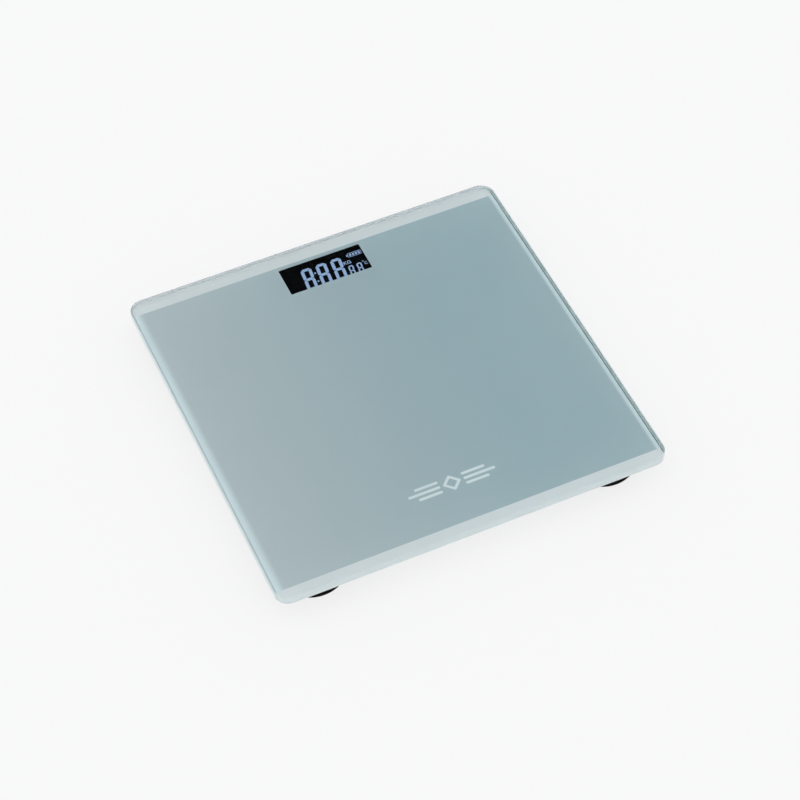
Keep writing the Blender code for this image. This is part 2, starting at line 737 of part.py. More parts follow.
def foot_cap_mesh():
    """The moving foot: a dish with a boss under the sensor and a beaded skirt that keeps it captive."""
    inner, outer, bead = SKIRT
    floor = CAP_BOTTOM + CAP_FLOOR
    boss_top = CELL_TOP - CELL_THICK - GAP
    bead_bottom = SKIRT_TOP - SKIRT_BEAD
    rim_inner = FOOT_RADIUS - CAP_RIM_WALL
    return turned_mesh(
        "foot_cap",
        [
            (0, boss_top),
            (CAP_BOSS - EDGE_BREAK, boss_top),
            (CAP_BOSS, boss_top - EDGE_BREAK),
            (CAP_BOSS, floor),
            (inner, floor),
            (inner, SKIRT_TOP),
            (bead, SKIRT_TOP),
            (bead, bead_bottom),
            (outer, bead_bottom),
            (outer, floor),
            (rim_inner, floor),
            (rim_inner, CAP_RIM_TOP),
            (FOOT_RADIUS - EDGE_BREAK, CAP_RIM_TOP),
            (FOOT_RADIUS, CAP_RIM_TOP - EDGE_BREAK),
            (FOOT_RADIUS, CAP_BOTTOM),
            (0, CAP_BOTTOM),
        ],
    )


def foot_pad_mesh():
    """A rubber disc with two ring grooves in its tread."""
    groove_width, groove_depth = PAD_GROOVE
    profile = [
        (0, PAD_THICK),
        (PAD_RADIUS, PAD_THICK),
        (PAD_RADIUS, PAD_BREAK),
        (PAD_RADIUS - PAD_BREAK, 0),
    ]
    for radius in reversed(PAD_GROOVES):
        half = groove_width / 2
        profile += [
            (radius + half, 0),
            (radius + half, groove_depth),
            (radius - half, groove_depth),
            (radius - half, 0),
        ]
    return turned_mesh("foot_pad", [*profile, (0, 0)])


def make_feet(materials):
    tape = rod_mesh("foot_tape", FOOT_TAPE_RADIUS, FOOT_TAPE_THICK, ROUND_STEPS)
    tape_z = HOUSING_TOP + GAP + FOOT_TAPE_THICK / 2
    gauge = block_mesh("strain_gauge", GAUGE_SIZE, GAUGE_CORNER)
    gauge_z = CELL_TOP + GAP + GAUGE_SIZE[2] / 2
    pieces = (
        ("foot_tape", tape, "foam", (0, 0, tape_z)),
        ("foot_housing", foot_housing_mesh(), "black", (0, 0, 0)),
        ("load_cell", load_cell_mesh(), "steel", (0, 0, 0)),
        ("strain_gauge", gauge, "gauge", (0, GAUGE_Y, gauge_z)),
        ("foot_cap", foot_cap_mesh(), "black", (0, 0, 0)),
        ("foot_pad", foot_pad_mesh(), "rubber", (0, 0, 0)),
    )
    # The wire leaves each front foot towards +Y, and each rear foot sideways towards the box.
    corners = (
        ("front_left", -1, -1, 0.0),
        ("front_right", 1, -1, 0.0),
        ("rear_left", -1, 1, -math.pi / 2),
        ("rear_right", 1, 1, math.pi / 2),
    )
    for corner, side, end, turn in corners:
        axis = bpy.data.objects.new(f"foot_axis_{corner}", None)
        axis.location = Vector((side * FOOT_PLACE[0], end * FOOT_PLACE[1], 0)) * MM
        axis.rotation_euler = (0.0, 0.0, turn)
        bpy.data.collections[PARTS].objects.link(axis)
        for name, mesh, colour, location in pieces:
            place(f"{name}_{corner}", mesh, materials[colour], location, axis)


# ---------------------------------------------------------------- wires


def make_sensor_wires(materials):
    """Each wire runs from its gauge, out through the foot, along the glass and down to the board."""
    foot_x, foot_y = FOOT_PLACE
    front_route = [
        (foot_x, 0.2 - foot_y, WIRE_Z),
        (foot_x, 12.0 - foot_y, WIRE_Z),
        (foot_x, 26.0 - foot_y, WIRE_Z),
        (foot_x, 38.0 - foot_y, TAPED_Z),
        (foot_x, -35.0, TAPED_Z),
        (foot_x, 0.0, TAPED_Z),
        (foot_x, 35.0, TAPED_Z),
        (foot_x, 58.0, TAPED_Z),
        (102.0, 70.0, 15.5),
        (92.0, 75.8, 14.6),
        (78.0, FRONT_WIRE_ENTRY_Y, 12.4),
        (66.0, FRONT_WIRE_ENTRY_Y, BOX_WIRE_Z),
        (59.5, 78.0, 11.6),
        (55.0, 84.0, 10.4),
        (50.5, 90.0, 8.9),
        (46.5, 95.5, 8.3),
    ]
    rear_route = [
        (foot_x - 0.2, foot_y, WIRE_Z),
        (foot_x - 12.0, foot_y, WIRE_Z),
        (foot_x - 26.0, foot_y, WIRE_Z),
        (70.0, foot_y, 12.3),
        (62.0, foot_y, 11.8),
        (55.0, foot_y + 0.3, 10.4),
        (49.5, foot_y + 0.6, 9.0),
        (44.5, foot_y + 1.0, 8.3),
    ]
    for sign, side in ((-1, "left"), (1, "right")):
        for row, knots in (("front", front_route), ("rear", rear_route)):
            mirrored = [(sign * x, y, z) for x, y, z in knots]
            route = smooth_route(mirrored, WIRE_SPACING)
            wire(f"sensor_wire_{row}_{side}", materials["sleeve"], route, SENSOR_WIRE)


def make_clips(materials):
    for sign, side in ((-1, "left"), (1, "right")):
        for number, y in enumerate(CLIP_ROWS, 1):
            bottom = FILM_BOTTOM - GAP - CLIP_SIZE[2]
            x = sign * FOOT_PLACE[0]
            name = f"wire_clip_{side}_{number}"
            clip = block(name, materials["black"], CLIP_SIZE, (x, y, bottom), CLIP_CORNER)
            groove_bottom = TAPED_Z - SENSOR_WIRE - GAP
            size = (CLIP_GROOVE, CLIP_SIZE[1] + 2 * OVERSHOOT, CLIP_SIZE[2])
            cut(clip, block(f"clip_groove_{side}_{number}", None, size, (x, y, groove_bottom)))


def make_battery_leads(materials):
    start_x = BAY_HALF + 0.1
    front, rear = BATTERY_ROWS
    red = [
        (start_x, front, LEAD_START_Z),
        (31.0, front, LEAD_START_Z),
        (35.5, 71.5, 11.2),
        (38.0, 79.0, 10.4),
        (38.0, 87.0, 8.9),
        (36.0, 93.5, 8.1),
    ]
    dark = [
        (start_x, rear, LEAD_START_Z),
        (30.5, rear + 0.5, LEAD_START_Z),
        (32.5, 84.0, 10.8),
        (32.5, 89.0, 9.0),
        (31.0, 93.5, 8.1),
    ]
    for name, colour, knots in (("battery_lead_red", "red", red), ("battery_lead_black", "dark", dark)):
        wire(name, materials[colour], smooth_route(knots, LEAD_SPACING), BATTERY_WIRE)


def main():
    clear_scene()
    materials = make_materials()
    make_platform(materials)
    make_box_tape(materials)
    make_housing(materials)
    make_cover(materials)
    make_door(materials)
    make_screws(materials)
    make_display(materials)
    make_button(materials)
    make_batteries(materials)
    make_contacts(materials)
    make_feet(materials)
    make_sensor_wires(materials)
    make_clips(materials)
    make_battery_leads(materials)


main()
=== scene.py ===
# %% [markdown]
# # A glass bathroom scale
# The scale is a square of tempered glass that stands on four round weighing feet. A print behind the
# glass gives it its colour, and a lit display looks out through a window in that print. This notebook
# dresses a finished engineering model: the model settles every size and every moving joint, and each
# cell here makes a piece fine enough to look at, or gives it the surface that the real one has.

# %% Load the fixed frame
import math

import bmesh
import bpy
from mathutils import Matrix, Vector


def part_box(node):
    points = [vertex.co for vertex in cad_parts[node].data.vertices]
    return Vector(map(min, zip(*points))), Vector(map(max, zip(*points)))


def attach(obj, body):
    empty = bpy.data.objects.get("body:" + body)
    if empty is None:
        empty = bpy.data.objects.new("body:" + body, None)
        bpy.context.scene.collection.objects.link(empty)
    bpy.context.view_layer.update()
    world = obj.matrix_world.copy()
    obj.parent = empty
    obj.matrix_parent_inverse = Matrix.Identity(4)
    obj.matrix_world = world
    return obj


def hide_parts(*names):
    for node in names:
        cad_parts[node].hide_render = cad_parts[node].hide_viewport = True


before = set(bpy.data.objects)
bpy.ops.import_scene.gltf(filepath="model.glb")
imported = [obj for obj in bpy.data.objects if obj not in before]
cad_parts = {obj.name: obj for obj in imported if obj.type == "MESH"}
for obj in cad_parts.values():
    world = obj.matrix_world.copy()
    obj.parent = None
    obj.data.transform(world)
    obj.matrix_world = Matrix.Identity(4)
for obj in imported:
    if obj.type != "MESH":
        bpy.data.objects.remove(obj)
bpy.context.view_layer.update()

# %% [markdown]
# ## Units, colours and nodes
# Sizes are written in millimetres, because that is how the maker would draw them, and turned into
# Blender's metres where they are used. Colours are written as the hex values that a print shop would
# quote, and one function turns them into the linear light that a renderer works in. Shader trees and
# geometry trees are both built from nodes, so one small helper adds a node of either sort.

# %% Helpers: units, colours, nodes
MM = 0.001
CORNERS = ("front_left", "front_right", "rear_left", "rear_right")


def linear(hex_colour, alpha=1.0):
    """Turns an sRGB hex colour such as "#8fa6d6" into linear RGBA."""
    channels = [int(hex_colour[i : i + 2], 16) / 255 for i in (1, 3, 5)]
    light = [c / 12.92 if c <= 0.04045 else ((c + 0.055) / 1.055) ** 2.4 for c in channels]
    return (*light, alpha)


def add(tree, kind, sockets=None, **settings):
    """Adds one node. A socket takes a value, another node (its first output) or one named output."""
    node = tree.nodes.new(kind)
    for name, value in settings.items():
        setattr(node, name, value)
    for key, value in (sockets or {}).items():
        if isinstance(value, bpy.types.Node):
            value = value.outputs[0]
        if isinstance(value, bpy.types.NodeSocket):
            tree.links.new(value, node.inputs[key])
        else:
            node.inputs[key].default_value = value
    return node


print("mid grey in linear light:", round(linear("#808080")[0], 3))

# %% [markdown]
# ## The camera
# The scale is seen from in front, from the left and from well above, with a long lens, so that its
# edges stay nearly parallel. The camera is described as it would be set up in a studio: which way it
# stands from the scale, how high, how far off, how much it leans, and how far its aim is off centre.

# %% Camera
AZIMUTH = math.radians(-22.83)
ELEVATION = math.radians(50.37)
LEAN = math.radians(-1.88)
DISTANCE = 1708.2 * MM
AIM_RIGHT = 6.2 * MM
AIM_DOWN = 11.3 * MM
FOCAL_MM = 112.67
SENSOR_MM = 36.0
glass_low, glass_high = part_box("glass_platform")
print_plane = glass_low.z

towards = Vector(
    (
        math.sin(AZIMUTH) * math.cos(ELEVATION),
        -math.cos(AZIMUTH) * math.cos(ELEVATION),
        math.sin(ELEVATION),
    )
)
level = Vector((0, 0, 1)).cross(towards).normalized()
upright = towards.cross(level)
right = math.cos(LEAN) * level + math.sin(LEAN) * upright
up = -math.sin(LEAN) * level + math.cos(LEAN) * upright
camera = bpy.data.objects.new("camera", bpy.data.cameras.new("camera"))
camera.data.lens = FOCAL_MM
camera.data.sensor_width = SENSOR_MM
camera.data.clip_end = 20.0
stand = DISTANCE * towards + AIM_RIGHT * right - AIM_DOWN * up + Vector((0, 0, print_plane))
camera.matrix_world = Matrix.Translation(stand) @ Matrix((right, up, towards)).transposed().to_4x4()
bpy.context.scene.collection.objects.link(camera)
bpy.context.scene.camera = camera
print("camera stands at", [round(v, 3) for v in stand])

# %% [markdown]
# ## Light and floor
# Catalogue pictures of glass are taken on a light table: a translucent white sheet lit from below,
# inside a tent of white cloth. The tent is the world's own even light. Glass also mirrors whatever
# stands opposite the camera, so a black cloth is hung there, and the display keeps its
# deep black. The cloth is a soft-edged dark patch in the world, at the mirror direction.

# %% World and light table
TENT_STRENGTH = 1.6
CLOTH_STRENGTH = 0.02
CLOTH_INNER = math.cos(math.radians(12.0))
CLOTH_OUTER = math.cos(math.radians(20.0))
scene = bpy.context.scene
scene.view_settings.view_transform = "Standard"
world = bpy.data.worlds.new("white_tent")
scene.world = world
world.use_nodes = True
sky = world.node_tree
sky.nodes.clear()
mirror_way = Vector((-towards.x, -towards.y, towards.z))
ray = add(sky, "ShaderNodeTexCoord").outputs["Generated"]
facing = add(sky, "ShaderNodeVectorMath", {0: ray, 1: mirror_way}, operation="DOT_PRODUCT")
cloth = add(
    sky,
    "ShaderNodeMapRange",
    {
        "Value": facing.outputs["Value"],
        "From Min": CLOTH_OUTER,
        "From Max": CLOTH_INNER,
        "To Min": TENT_STRENGTH,
        "To Max": CLOTH_STRENGTH,
    },
    interpolation_type="SMOOTHSTEP",
)
tent = add(sky, "ShaderNodeBackground", {"Color": linear("#fbfcff"), "Strength": cloth})
add(sky, "ShaderNodeOutputWorld", {"Surface": tent})

TABLE_SIDE = 6.0
TABLE_DROP = 0.2 * MM
TABLE_GLOW = 0.87
bpy.ops.mesh.primitive_plane_add(size=TABLE_SIDE, location=(0, 0, -TABLE_DROP))
table = bpy.context.object
table.name = "light_table"
opal = bpy.data.materials.new("opal_acrylic_sheet")
opal.use_nodes = True
opal_shader = opal.node_tree.nodes["Principled BSDF"]
opal_shader.inputs["Base Color"].default_value = linear("#5c5c5c")
opal_shader.inputs["Roughness"].default_value = 0.9
opal_shader.inputs["Specular IOR Level"].default_value = 0.0
opal_shader.inputs["Emission Color"].default_value = linear("#f4f4f4")
opal_shader.inputs["Emission Strength"].default_value = TABLE_GLOW
table.data.materials.append(opal)
print("light table:", TABLE_SIDE, "m square")

# %% [markdown]
# ## Building shapes
# Nearly everything here is either a flat plate with rounded corners, a turned shape or an extruded
# outline. A plate is lofted: the same rounded outline is repeated at several heights, drawn in a little
# where an edge is polished round, and the rings are bridged. A turned shape is a profile spun about an
# upright axis. Both keep clean quads, so they shade smoothly.

# %% Helpers: meshes
SMOOTH_ANGLE = math.radians(35.0)


def piece_from(shape, name, material=None):
    """Closes a bmesh into a finished object at the origin, its faces pointing out."""
    bmesh.ops.remove_doubles(shape, verts=shape.verts, dist=1e-7)
    bmesh.ops.recalc_face_normals(shape, faces=shape.faces)
    mesh = bpy.data.meshes.new(name)
    shape.to_mesh(mesh)
    shape.free()
    mesh.shade_smooth()
    mesh.set_sharp_from_angle(angle=SMOOTH_ANGLE)
    obj = bpy.data.objects.new(name, mesh)
    scene.collection.objects.link(obj)
    if material:
        mesh.materials.append(material)
    return obj


def rounded_outline(width, depth, radius, steps=8):
    """Points round a rectangle with round corners, counter-clockwise, in millimetres."""
    points = []
    for quarter, (sx, sy) in enumerate(((1, 1), (-1, 1), (-1, -1), (1, -1))):
        cx = sx * (width / 2 - radius)
        cy = sy * (depth / 2 - radius)
        for step in range(steps + 1):
            angle = (quarter + step / steps) * math.pi / 2
            points.append((cx + radius * math.cos(angle), cy + radius * math.sin(angle)))
    return points


def add_loft(shape, rings, centre=(0, 0), closed=False):
    """Bridges equal rings of (x, y) points, each with its height; caps the ends, or joins them if closed."""
    loops = []
    for points, z in rings:
        loops.append(
            [shape.verts.new(((x + centre[0]) * MM, (y + centre[1]) * MM, z * MM)) for x, y in points]
        )
    count = len(loops[0])
    for low, high in zip(loops, loops[1:] + loops[:1] if closed else loops[1:]):
        for i in range(count):
            j = (i + 1) % count
            shape.faces.new((low[i], low[j], high[j], high[i]))
    if not closed:
        shape.faces.new(loops[0])
        shape.faces.new(loops[-1])


def slab_rings(width, depth, corner, bottom, top, edge, edge_steps=3, steps=8):
    """Rings of a plate whose upper and lower edges are rounded to the radius `edge`."""
    rings = []
    for sign, level_z in ((-1, bottom + edge), (1, top - edge)):
        order = range(edge_steps + 1) if sign > 0 else range(edge_steps, -1, -1)
        for step in order:
            angle = step / edge_steps * math.pi / 2
            inset = edge * (1 - math.cos(angle))
            outline = rounded_outline(width - 2 * inset, depth - 2 * inset, max(corner - inset, 0.05), steps)
            rings.append((outline, level_z + sign * edge * math.sin(angle)))
    return rings


def add_slab(shape, size, base, corner=1.0, edge=0.2, edge_steps=3, steps=6):
    """A rounded plate of this size standing on the point `base` under its middle."""
    width, depth, height = size
    x, y, z = base
    add_loft(shape, slab_rings(width, depth, corner, z, z + height, edge, edge_steps, steps), (x, y))


def add_turned(shape, profile, centre=(0, 0), steps=72):
    """Spins (radius, height) points about an upright axis; a point on the axis becomes one pole."""
    rings = []
    for radius, z in profile:
        if radius < 1e-6:
            rings.append([shape.verts.new((centre[0] * MM, centre[1] * MM, z * MM))])
            continue
        ring = []
        for step in range(steps):
            angle = 2 * math.pi * step / steps
            x = centre[0] + radius * math.cos(angle)
            y = centre[1] + radius * math.sin(angle)
            ring.append(shape.verts.new((x * MM, y * MM, z * MM)))
        rings.append(ring)
    for first, second in zip(rings, rings[1:]):
        for i in range(steps):
            j = (i + 1) % steps
            corners = [
                first[i % len(first)], first[j % len(first)], second[j % len(second)], second[i % len(second)]
            ]
            face = list(dict.fromkeys(corners))
            if len(face) > 2:
                shape.faces.new(face)


def add_prism(shape, outline, bottom, top):
    """Extrudes a flat outline of (x, y) points between two heights."""
    add_loft(shape, [(outline, bottom), (outline, top)])


def add_frame(shape, size, hole, z_range, centre=(0, 0), corner=1.0, steps=4):
    """A flat rectangular ring: an outline of one size with a hole of another, between two heights."""
    outer, inner = (rounded_outline(*s, max(corner - (size[0] - s[0]) / 2, 0.3), steps) for s in (size, hole))
    bottom, top = z_range
    add_loft(shape, [(outer, bottom), (outer, top), (inner, top), (inner, bottom)], centre, True)


def bake(obj):
    """Replaces an object's mesh with the one that its modifiers give, and drops the modifiers."""
    bpy.context.view_layer.update()
    graph = bpy.context.evaluated_depsgraph_get()
    mesh = bpy.data.meshes.new_from_object(obj.evaluated_get(graph))
    obj.modifiers.clear()
    obj.data = mesh
    return obj


def cut(obj, *shapes):
    """Cuts each bmesh from the object with an exact Boolean and bakes the result."""
    for shape in shapes:
        cutter = piece_from(shape, "cutter")
        modifier = obj.modifiers.new("cut", "BOOLEAN")
        modifier.operation = "DIFFERENCE"
        modifier.solver = "EXACT"
        modifier.object = cutter
        bake(obj)
        bpy.data.objects.remove(cutter, do_unlink=True)
    obj.data.shade_smooth()
    obj.data.set_sharp_from_angle(angle=SMOOTH_ANGLE)
    return obj


def make(name, material, parts, cuts=(), extras=()):
    """Builds a piece from adders with their arguments, cuts shapes from it, then adds more solids."""
    shape = bmesh.new()
    for adder, *values in parts:
        adder(shape, *values)
    obj = piece_from(shape, name, material)
    for adder, *values in cuts:
        cutter = bmesh.new()
        adder(cutter, *values)
        cut(obj, cutter)
    if extras:
        shape = bmesh.new()
        shape.from_mesh(obj.data)
        for adder, *values in extras:
            adder(shape, *values)
        bpy.data.objects.remove(obj)
        obj = piece_from(shape, name, material)
    return obj


def show(obj, body, slot, *replaced):
    """Hands a finished piece to its body and hides the plain nodes that it stands for; slot is not used."""
    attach(obj, body)
    if replaced:
        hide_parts(*replaced)
    print(f"{obj.name}: {len(obj.data.polygons)} faces on {body}")
    return obj


def box_mm(node):
    """A node's lowest and highest corner in millimetres."""
    low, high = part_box(node)
    return low / MM, high / MM


def middle_mm(node):
    """The middle of a node's box in millimetres."""
    low, high = box_mm(node)
    return (low + high) / 2


def ring_of_points(radius, count):
    """Evenly spaced points on a circle about the origin."""
    angles = [math.tau * i / count for i in range(count)]
    return [(radius * math.cos(angle), radius * math.sin(angle), 0) for angle in angles]


# %% [markdown]
# ## Surfaces
# Every finish starts from the same four things: where on the piece a point lies, a slow drift in tone,
# a fine grain, and a little unevenness in the gloss. A moulded part takes all of them from the tool it
# was made in, so one builder serves all the plastics and rubbers, and only the sizes and amounts change.


# %% Helper: a surface with grain, drift and uneven gloss
def start_material(name, colour, roughness, metallic=0.0):
    """A new Principled material; returns it with its tree, its shader and the point in metres."""
    material = bpy.data.materials.new(name)
    material.use_nodes = True
    tree = material.node_tree
    shader = tree.nodes["Principled BSDF"]
    shader.inputs["Base Color"].default_value = linear(colour)
    shader.inputs["Roughness"].default_value = roughness
    shader.inputs["Metallic"].default_value = metallic
    point = add(tree, "ShaderNodeTexCoord").outputs["Object"]
    return material, tree, shader, point


def noise(tree, point, size_mm, detail=3.0, stretch=(1, 1, 1)):
    """Noise whose lumps are about `size_mm` across."""
    scale = tuple(1 / (size_mm * MM * s) for s in stretch)
    mapped = add(tree, "ShaderNodeMapping", {"Vector": point, "Scale": scale})
    return add(
        tree, "ShaderNodeTexNoise", {"Vector": mapped, "Scale": 1.0, "Detail": detail}, noise_dimensions="3D"
    )


def remap(tree, value, low, high, from_low=0.3, from_high=0.7):
    """Stretches a value; the default range is the one that noise mostly fills."""
    sockets = {"Value": value, "From Min": from_low, "From Max": from_high, "To Min": low, "To Max": high}
    return add(tree, "ShaderNodeMapRange", sockets)


def mix_colour(tree, factor, first, second, blend="MIX"):
    """Mixes two colours, given as hex, linear RGBA or nodes."""
    values = [linear(c) if isinstance(c, str) else c for c in (first, second)]
    node = add(tree, "ShaderNodeMix", data_type="RGBA", blend_type=blend)
    for key, value in ((0, factor), (6, values[0]), (7, values[1])):
        if isinstance(value, bpy.types.Node):
            value = value.outputs[2] if value.bl_idname == "ShaderNodeMix" else value.outputs[0]
        if isinstance(value, bpy.types.NodeSocket):
            tree.links.new(value, node.inputs[key])
        else:
            node.inputs[key].default_value = value
    return node


def moulded(
    name, dark, light, roughness, grain_mm, relief_mm, drift_mm=25.0, metallic=0.0, stretch=(1, 1, 1)
):
    """A surface that drifts between two tones, with a fine grain and uneven gloss."""
    material, tree, shader, point = start_material(name, light, roughness, metallic)
    drift = noise(tree, point, drift_mm, 4.0)
    grain = noise(tree, point, grain_mm, 2.0, stretch)
    tone = remap(tree, drift, 0.0, 0.7)
    speck = remap(tree, grain, 0.0, 0.3)
    total = add(tree, "ShaderNodeMath", {0: tone, 1: speck}, operation="ADD")
    mixed = mix_colour(tree, total, dark, light)
    tree.links.new(mixed.outputs[2], shader.inputs["Base Color"])
    gloss = remap(tree, grain, roughness - 0.06, roughness + 0.06)
    tree.links.new(gloss.outputs[0], shader.inputs["Roughness"])
    bump = add(tree, "ShaderNodeBump", {"Height": grain, "Distance": relief_mm * MM, "Strength": 1.0})
    tree.links.new(bump.outputs[0], shader.inputs["Normal"])
    return material


# %% [markdown]
# ## The materials of the scale
# The names say what each piece is made of and how its surface was made. Injection-moulded ABS has the
# fine matt grain of a spark-eroded tool. The rubber soles are the deepest and dullest black. The stamped
# parts are nickel plated and show the rolling direction of their strip.

# %% Plain materials
abs_black = moulded("spark_textured_black_ABS", "#0b0b0c", "#17181a", 0.5, 0.35, 0.02)
abs_satin = moulded("satin_black_ABS", "#101012", "#1c1d1f", 0.38, 0.5, 0.008)
rubber_black = moulded("moulded_black_rubber", "#020202", "#050505", 0.85, 0.15, 0.02, 12.0)
rubber_black.node_tree.nodes["Principled BSDF"].inputs["Specular IOR Level"].default_value = 0.1
foam_white = moulded("white_PE_foam_tape", "#c9c8c2", "#e4e3de", 0.9, 0.6, 0.08, 10.0)
nickel = moulded("nickel_plated_spring_steel", "#a9aaab", "#c4c5c6", 0.28, 0.3, 0.003, 8.0, 1.0, (1, 12, 1))
stamped = moulded("stamped_cold_rolled_steel", "#8f9193", "#b0b2b4", 0.36, 0.25, 0.004, 10.0, 1.0, (14, 1, 1))
silicone = moulded("white_silicone_coating", "#d3d2ca", "#e6e5df", 0.45, 0.8, 0.03, 5.0)
acrylic_guide = moulded("milky_acrylic_light_guide", "#dfe4ec", "#f1f4fa", 0.35, 1.5, 0.004, 20.0)
epoxy_drop = moulded("black_epoxy_drop", "#060606", "#101010", 0.18, 2.5, 0.02, 6.0)
grey_key = moulded("satin_grey_ABS_key", "#8c8f93", "#9da0a4", 0.42, 0.35, 0.01, 6.0)
pvc_red = moulded("red_PVC_sleeve", "#8a1414", "#a81c1b", 0.42, 0.4, 0.004, 8.0)
pvc_black = moulded("black_PVC_sleeve", "#131313", "#202020", 0.42, 0.4, 0.004, 8.0)
pvc_white = moulded("white_PVC_sleeve", "#cfcec9", "#e2e1dc", 0.42, 0.4, 0.004, 8.0)
print("materials so far:", len(bpy.data.materials))

# %% [markdown]
# ## The glass platform
# The platform is 6 mm float glass, cut with round corners, ground and polished along its edge, then
# tempered. Its polished edge is what makes it read as glass: the small radius at the top and bottom
# bends the light into thin bright and dark lines. The plate is lofted from one rounded outline, so the
# flat faces stay perfectly flat and only the polished edge curves. An extra ring just inside the edge
# keeps the shading of the flat face level.

# %% Glass platform
glass_low, glass_high = box_mm("glass_platform")
PLATE_CORNER = 10.0
POLISHED_EDGE = 0.5
FLAT_MARGIN = 0.3
plate_side = glass_high.x - glass_low.x
EDGE_STEPS, CORNER_STEPS = 8, 20
plate_rings = slab_rings(
    plate_side, plate_side, PLATE_CORNER, glass_low.z, glass_high.z, POLISHED_EDGE, EDGE_STEPS, CORNER_STEPS
)
inner_side = plate_side - 2 * (POLISHED_EDGE + FLAT_MARGIN)
inner_corner = PLATE_CORNER - POLISHED_EDGE - FLAT_MARGIN
inner_outline = rounded_outline(inner_side, inner_side, inner_corner, CORNER_STEPS)
plate_rings = [(inner_outline, glass_low.z), *plate_rings, (inner_outline, glass_high.z)]

tempered, tree, shader, point = start_material("tempered_float_glass", "#f4fbf9", 0.02)
shader.inputs["Transmission Weight"].default_value = 1.0
shader.inputs["IOR"].default_value = 1.52
# Tempering rolls leave a very slow wave in the sheet, and use leaves hairline rubs: both stay faint.
ROLLER_WAVE_MM = 30.0
RUB_MM = 0.8
wave = noise(tree, point, ROLLER_WAVE_MM, 1.0)
wave_bump = add(tree, "ShaderNodeBump", {"Height": wave, "Distance": 0.004 * MM, "Strength": 1.0})
rubs = noise(tree, point, RUB_MM, 2.0, (1, 20, 1))
rub_bump = add(
    tree, "ShaderNodeBump", {"Height": rubs, "Distance": 0.0004 * MM, "Strength": 0.6, "Normal": wave_bump}
)
tree.links.new(rub_bump.outputs[0], shader.inputs["Normal"])

# The edge is ground, then polished, so the print shows in it as in a mirror. The wheels run along the
# edge and leave fine lines in that direction, and the last haze of grinding stays in patches.
WHEEL_LINE_MM = 0.25
polished_edge, tree, shader, point = start_material("polished_glass_edge", "#eef7f4", 0.1)
shader.inputs["Transmission Weight"].default_value = 0.96
shader.inputs["IOR"].default_value = 1.52
wheel_lines = noise(tree, point, WHEEL_LINE_MM, 2.0, (40, 40, 1))
patches = noise(tree, point, 18.0, 3.0)
toned = mix_colour(tree, remap(tree, patches, 0, 1), "#e4f0ec", "#f3faf8")
# The upper rear arris is tinted a little grey.
place = add(tree, "ShaderNodeSeparateXYZ", {"Vector": point})
rear_start, rear_full = glass_high.y - 0.7, glass_high.y - 0.4
top_start, top_full = glass_high.z - 0.7, glass_high.z - 0.5
at_rear = remap(tree, place.outputs["Y"], 0.0, 1.0, rear_start * MM, rear_full * MM)
at_top = remap(tree, place.outputs["Z"], 0.0, 1.0, top_start * MM, top_full * MM)
rear = add(tree, "ShaderNodeMath", {0: at_rear, 1: at_top}, operation="MULTIPLY")
toned = mix_colour(tree, rear, toned, "#8c9a9b")
tree.links.new(toned.outputs[2], shader.inputs["Base Color"])
tree.links.new(remap(tree, patches, 0.05, 0.16).outputs[0], shader.inputs["Roughness"])
wheel_bump = add(tree, "ShaderNodeBump", {"Height": wheel_lines, "Distance": 0.0003 * MM, "Strength": 0.4})
tree.links.new(wheel_bump.outputs[0], shader.inputs["Normal"])

shape = bmesh.new()
add_loft(shape, plate_rings)
platform = piece_from(shape, "polished_glass_plate", tempered)
platform.data.materials.append(polished_edge)
FLAT = 0.999
for face in platform.data.polygons:
    face.material_index = 0 if abs(face.normal.z) > FLAT else 1
show(platform, "chassis", "tempered_glass", "glass_platform")

# %% [markdown]
# ## The print behind the glass
# The colour is a screen print on a film that is laminated to the underside of the glass. Laminated
# means that no air is left between them, so here the film is sunk a few hundredths of a millimetre
# into the glass; with a gap, the edge of the plate would mirror instead of showing the print. The
# print is a cool grey-blue field with a silvery band along the front and rear edges. The field is
# painted a little paler and warmer to the left, as painted falloff of the light from that side. Along
# the two sides painted edge light, for the light that enters the edge of the glass, lifts the last few
# millimetres of the print, and a painted shade line, for the dark edge of the glass, closes it.

# %% Printed film
SUNK = 0.02
BAND_Y = 129.5
BAND_SOFT = 0.15
PAINTED_LIGHT_FALLOFF_X = (-139.0, 60.0)
# Where painted edge light lifts the print along the left and right sides, in millimetres.
LEFT_PAINTED_EDGE_LIGHT = (-131.3, -137.2)
RIGHT_PAINTED_EDGE_LIGHT = (134.2, 137.5)
# Painted shade: a dark line along each side of the print, its half width, and how faint it is on the left.
PAINTED_SHADE_LINES_X = (-138.5, 138.7)
PAINTED_SHADE_LINE_HALF = 0.32
LEFT_PAINTED_SHADE_SHARE = 0.4
film_low = box_mm("printed_film")[0]
FILM_INSET = 0.8
film_side = plate_side - 2 * FILM_INSET
WINDOW_X = (-30.7, 31.3)
WINDOW_Y = (101.8, 126.6)
WINDOW_CORNER = 0.5
BACKING_THICK = 0.14
window_centre = (sum(WINDOW_X) / 2, sum(WINDOW_Y) / 2)
window_size = (WINDOW_X[1] - WINDOW_X[0], WINDOW_Y[1] - WINDOW_Y[0])

# The print carries painted light as well: a light falloff from the left, edge light along the sides and a
# shade line.
print_ink_and_painted_light, tree, shader, point = start_material("screen_printed_PET_film", "#96adb3", 0.55)
shader.inputs["Specular IOR Level"].default_value = 0.1
place = add(tree, "ShaderNodeSeparateXYZ", {"Vector": point})


def ramp_x(start, end):
    """A soft ramp from 0 to 1 across the print, between two places in millimetres."""
    sockets = {"Value": place.outputs["X"], "From Min": start * MM, "From Max": end * MM, "To Max": 1.0}
    return add(tree, "ShaderNodeMapRange", sockets, interpolation_type="SMOOTHSTEP")
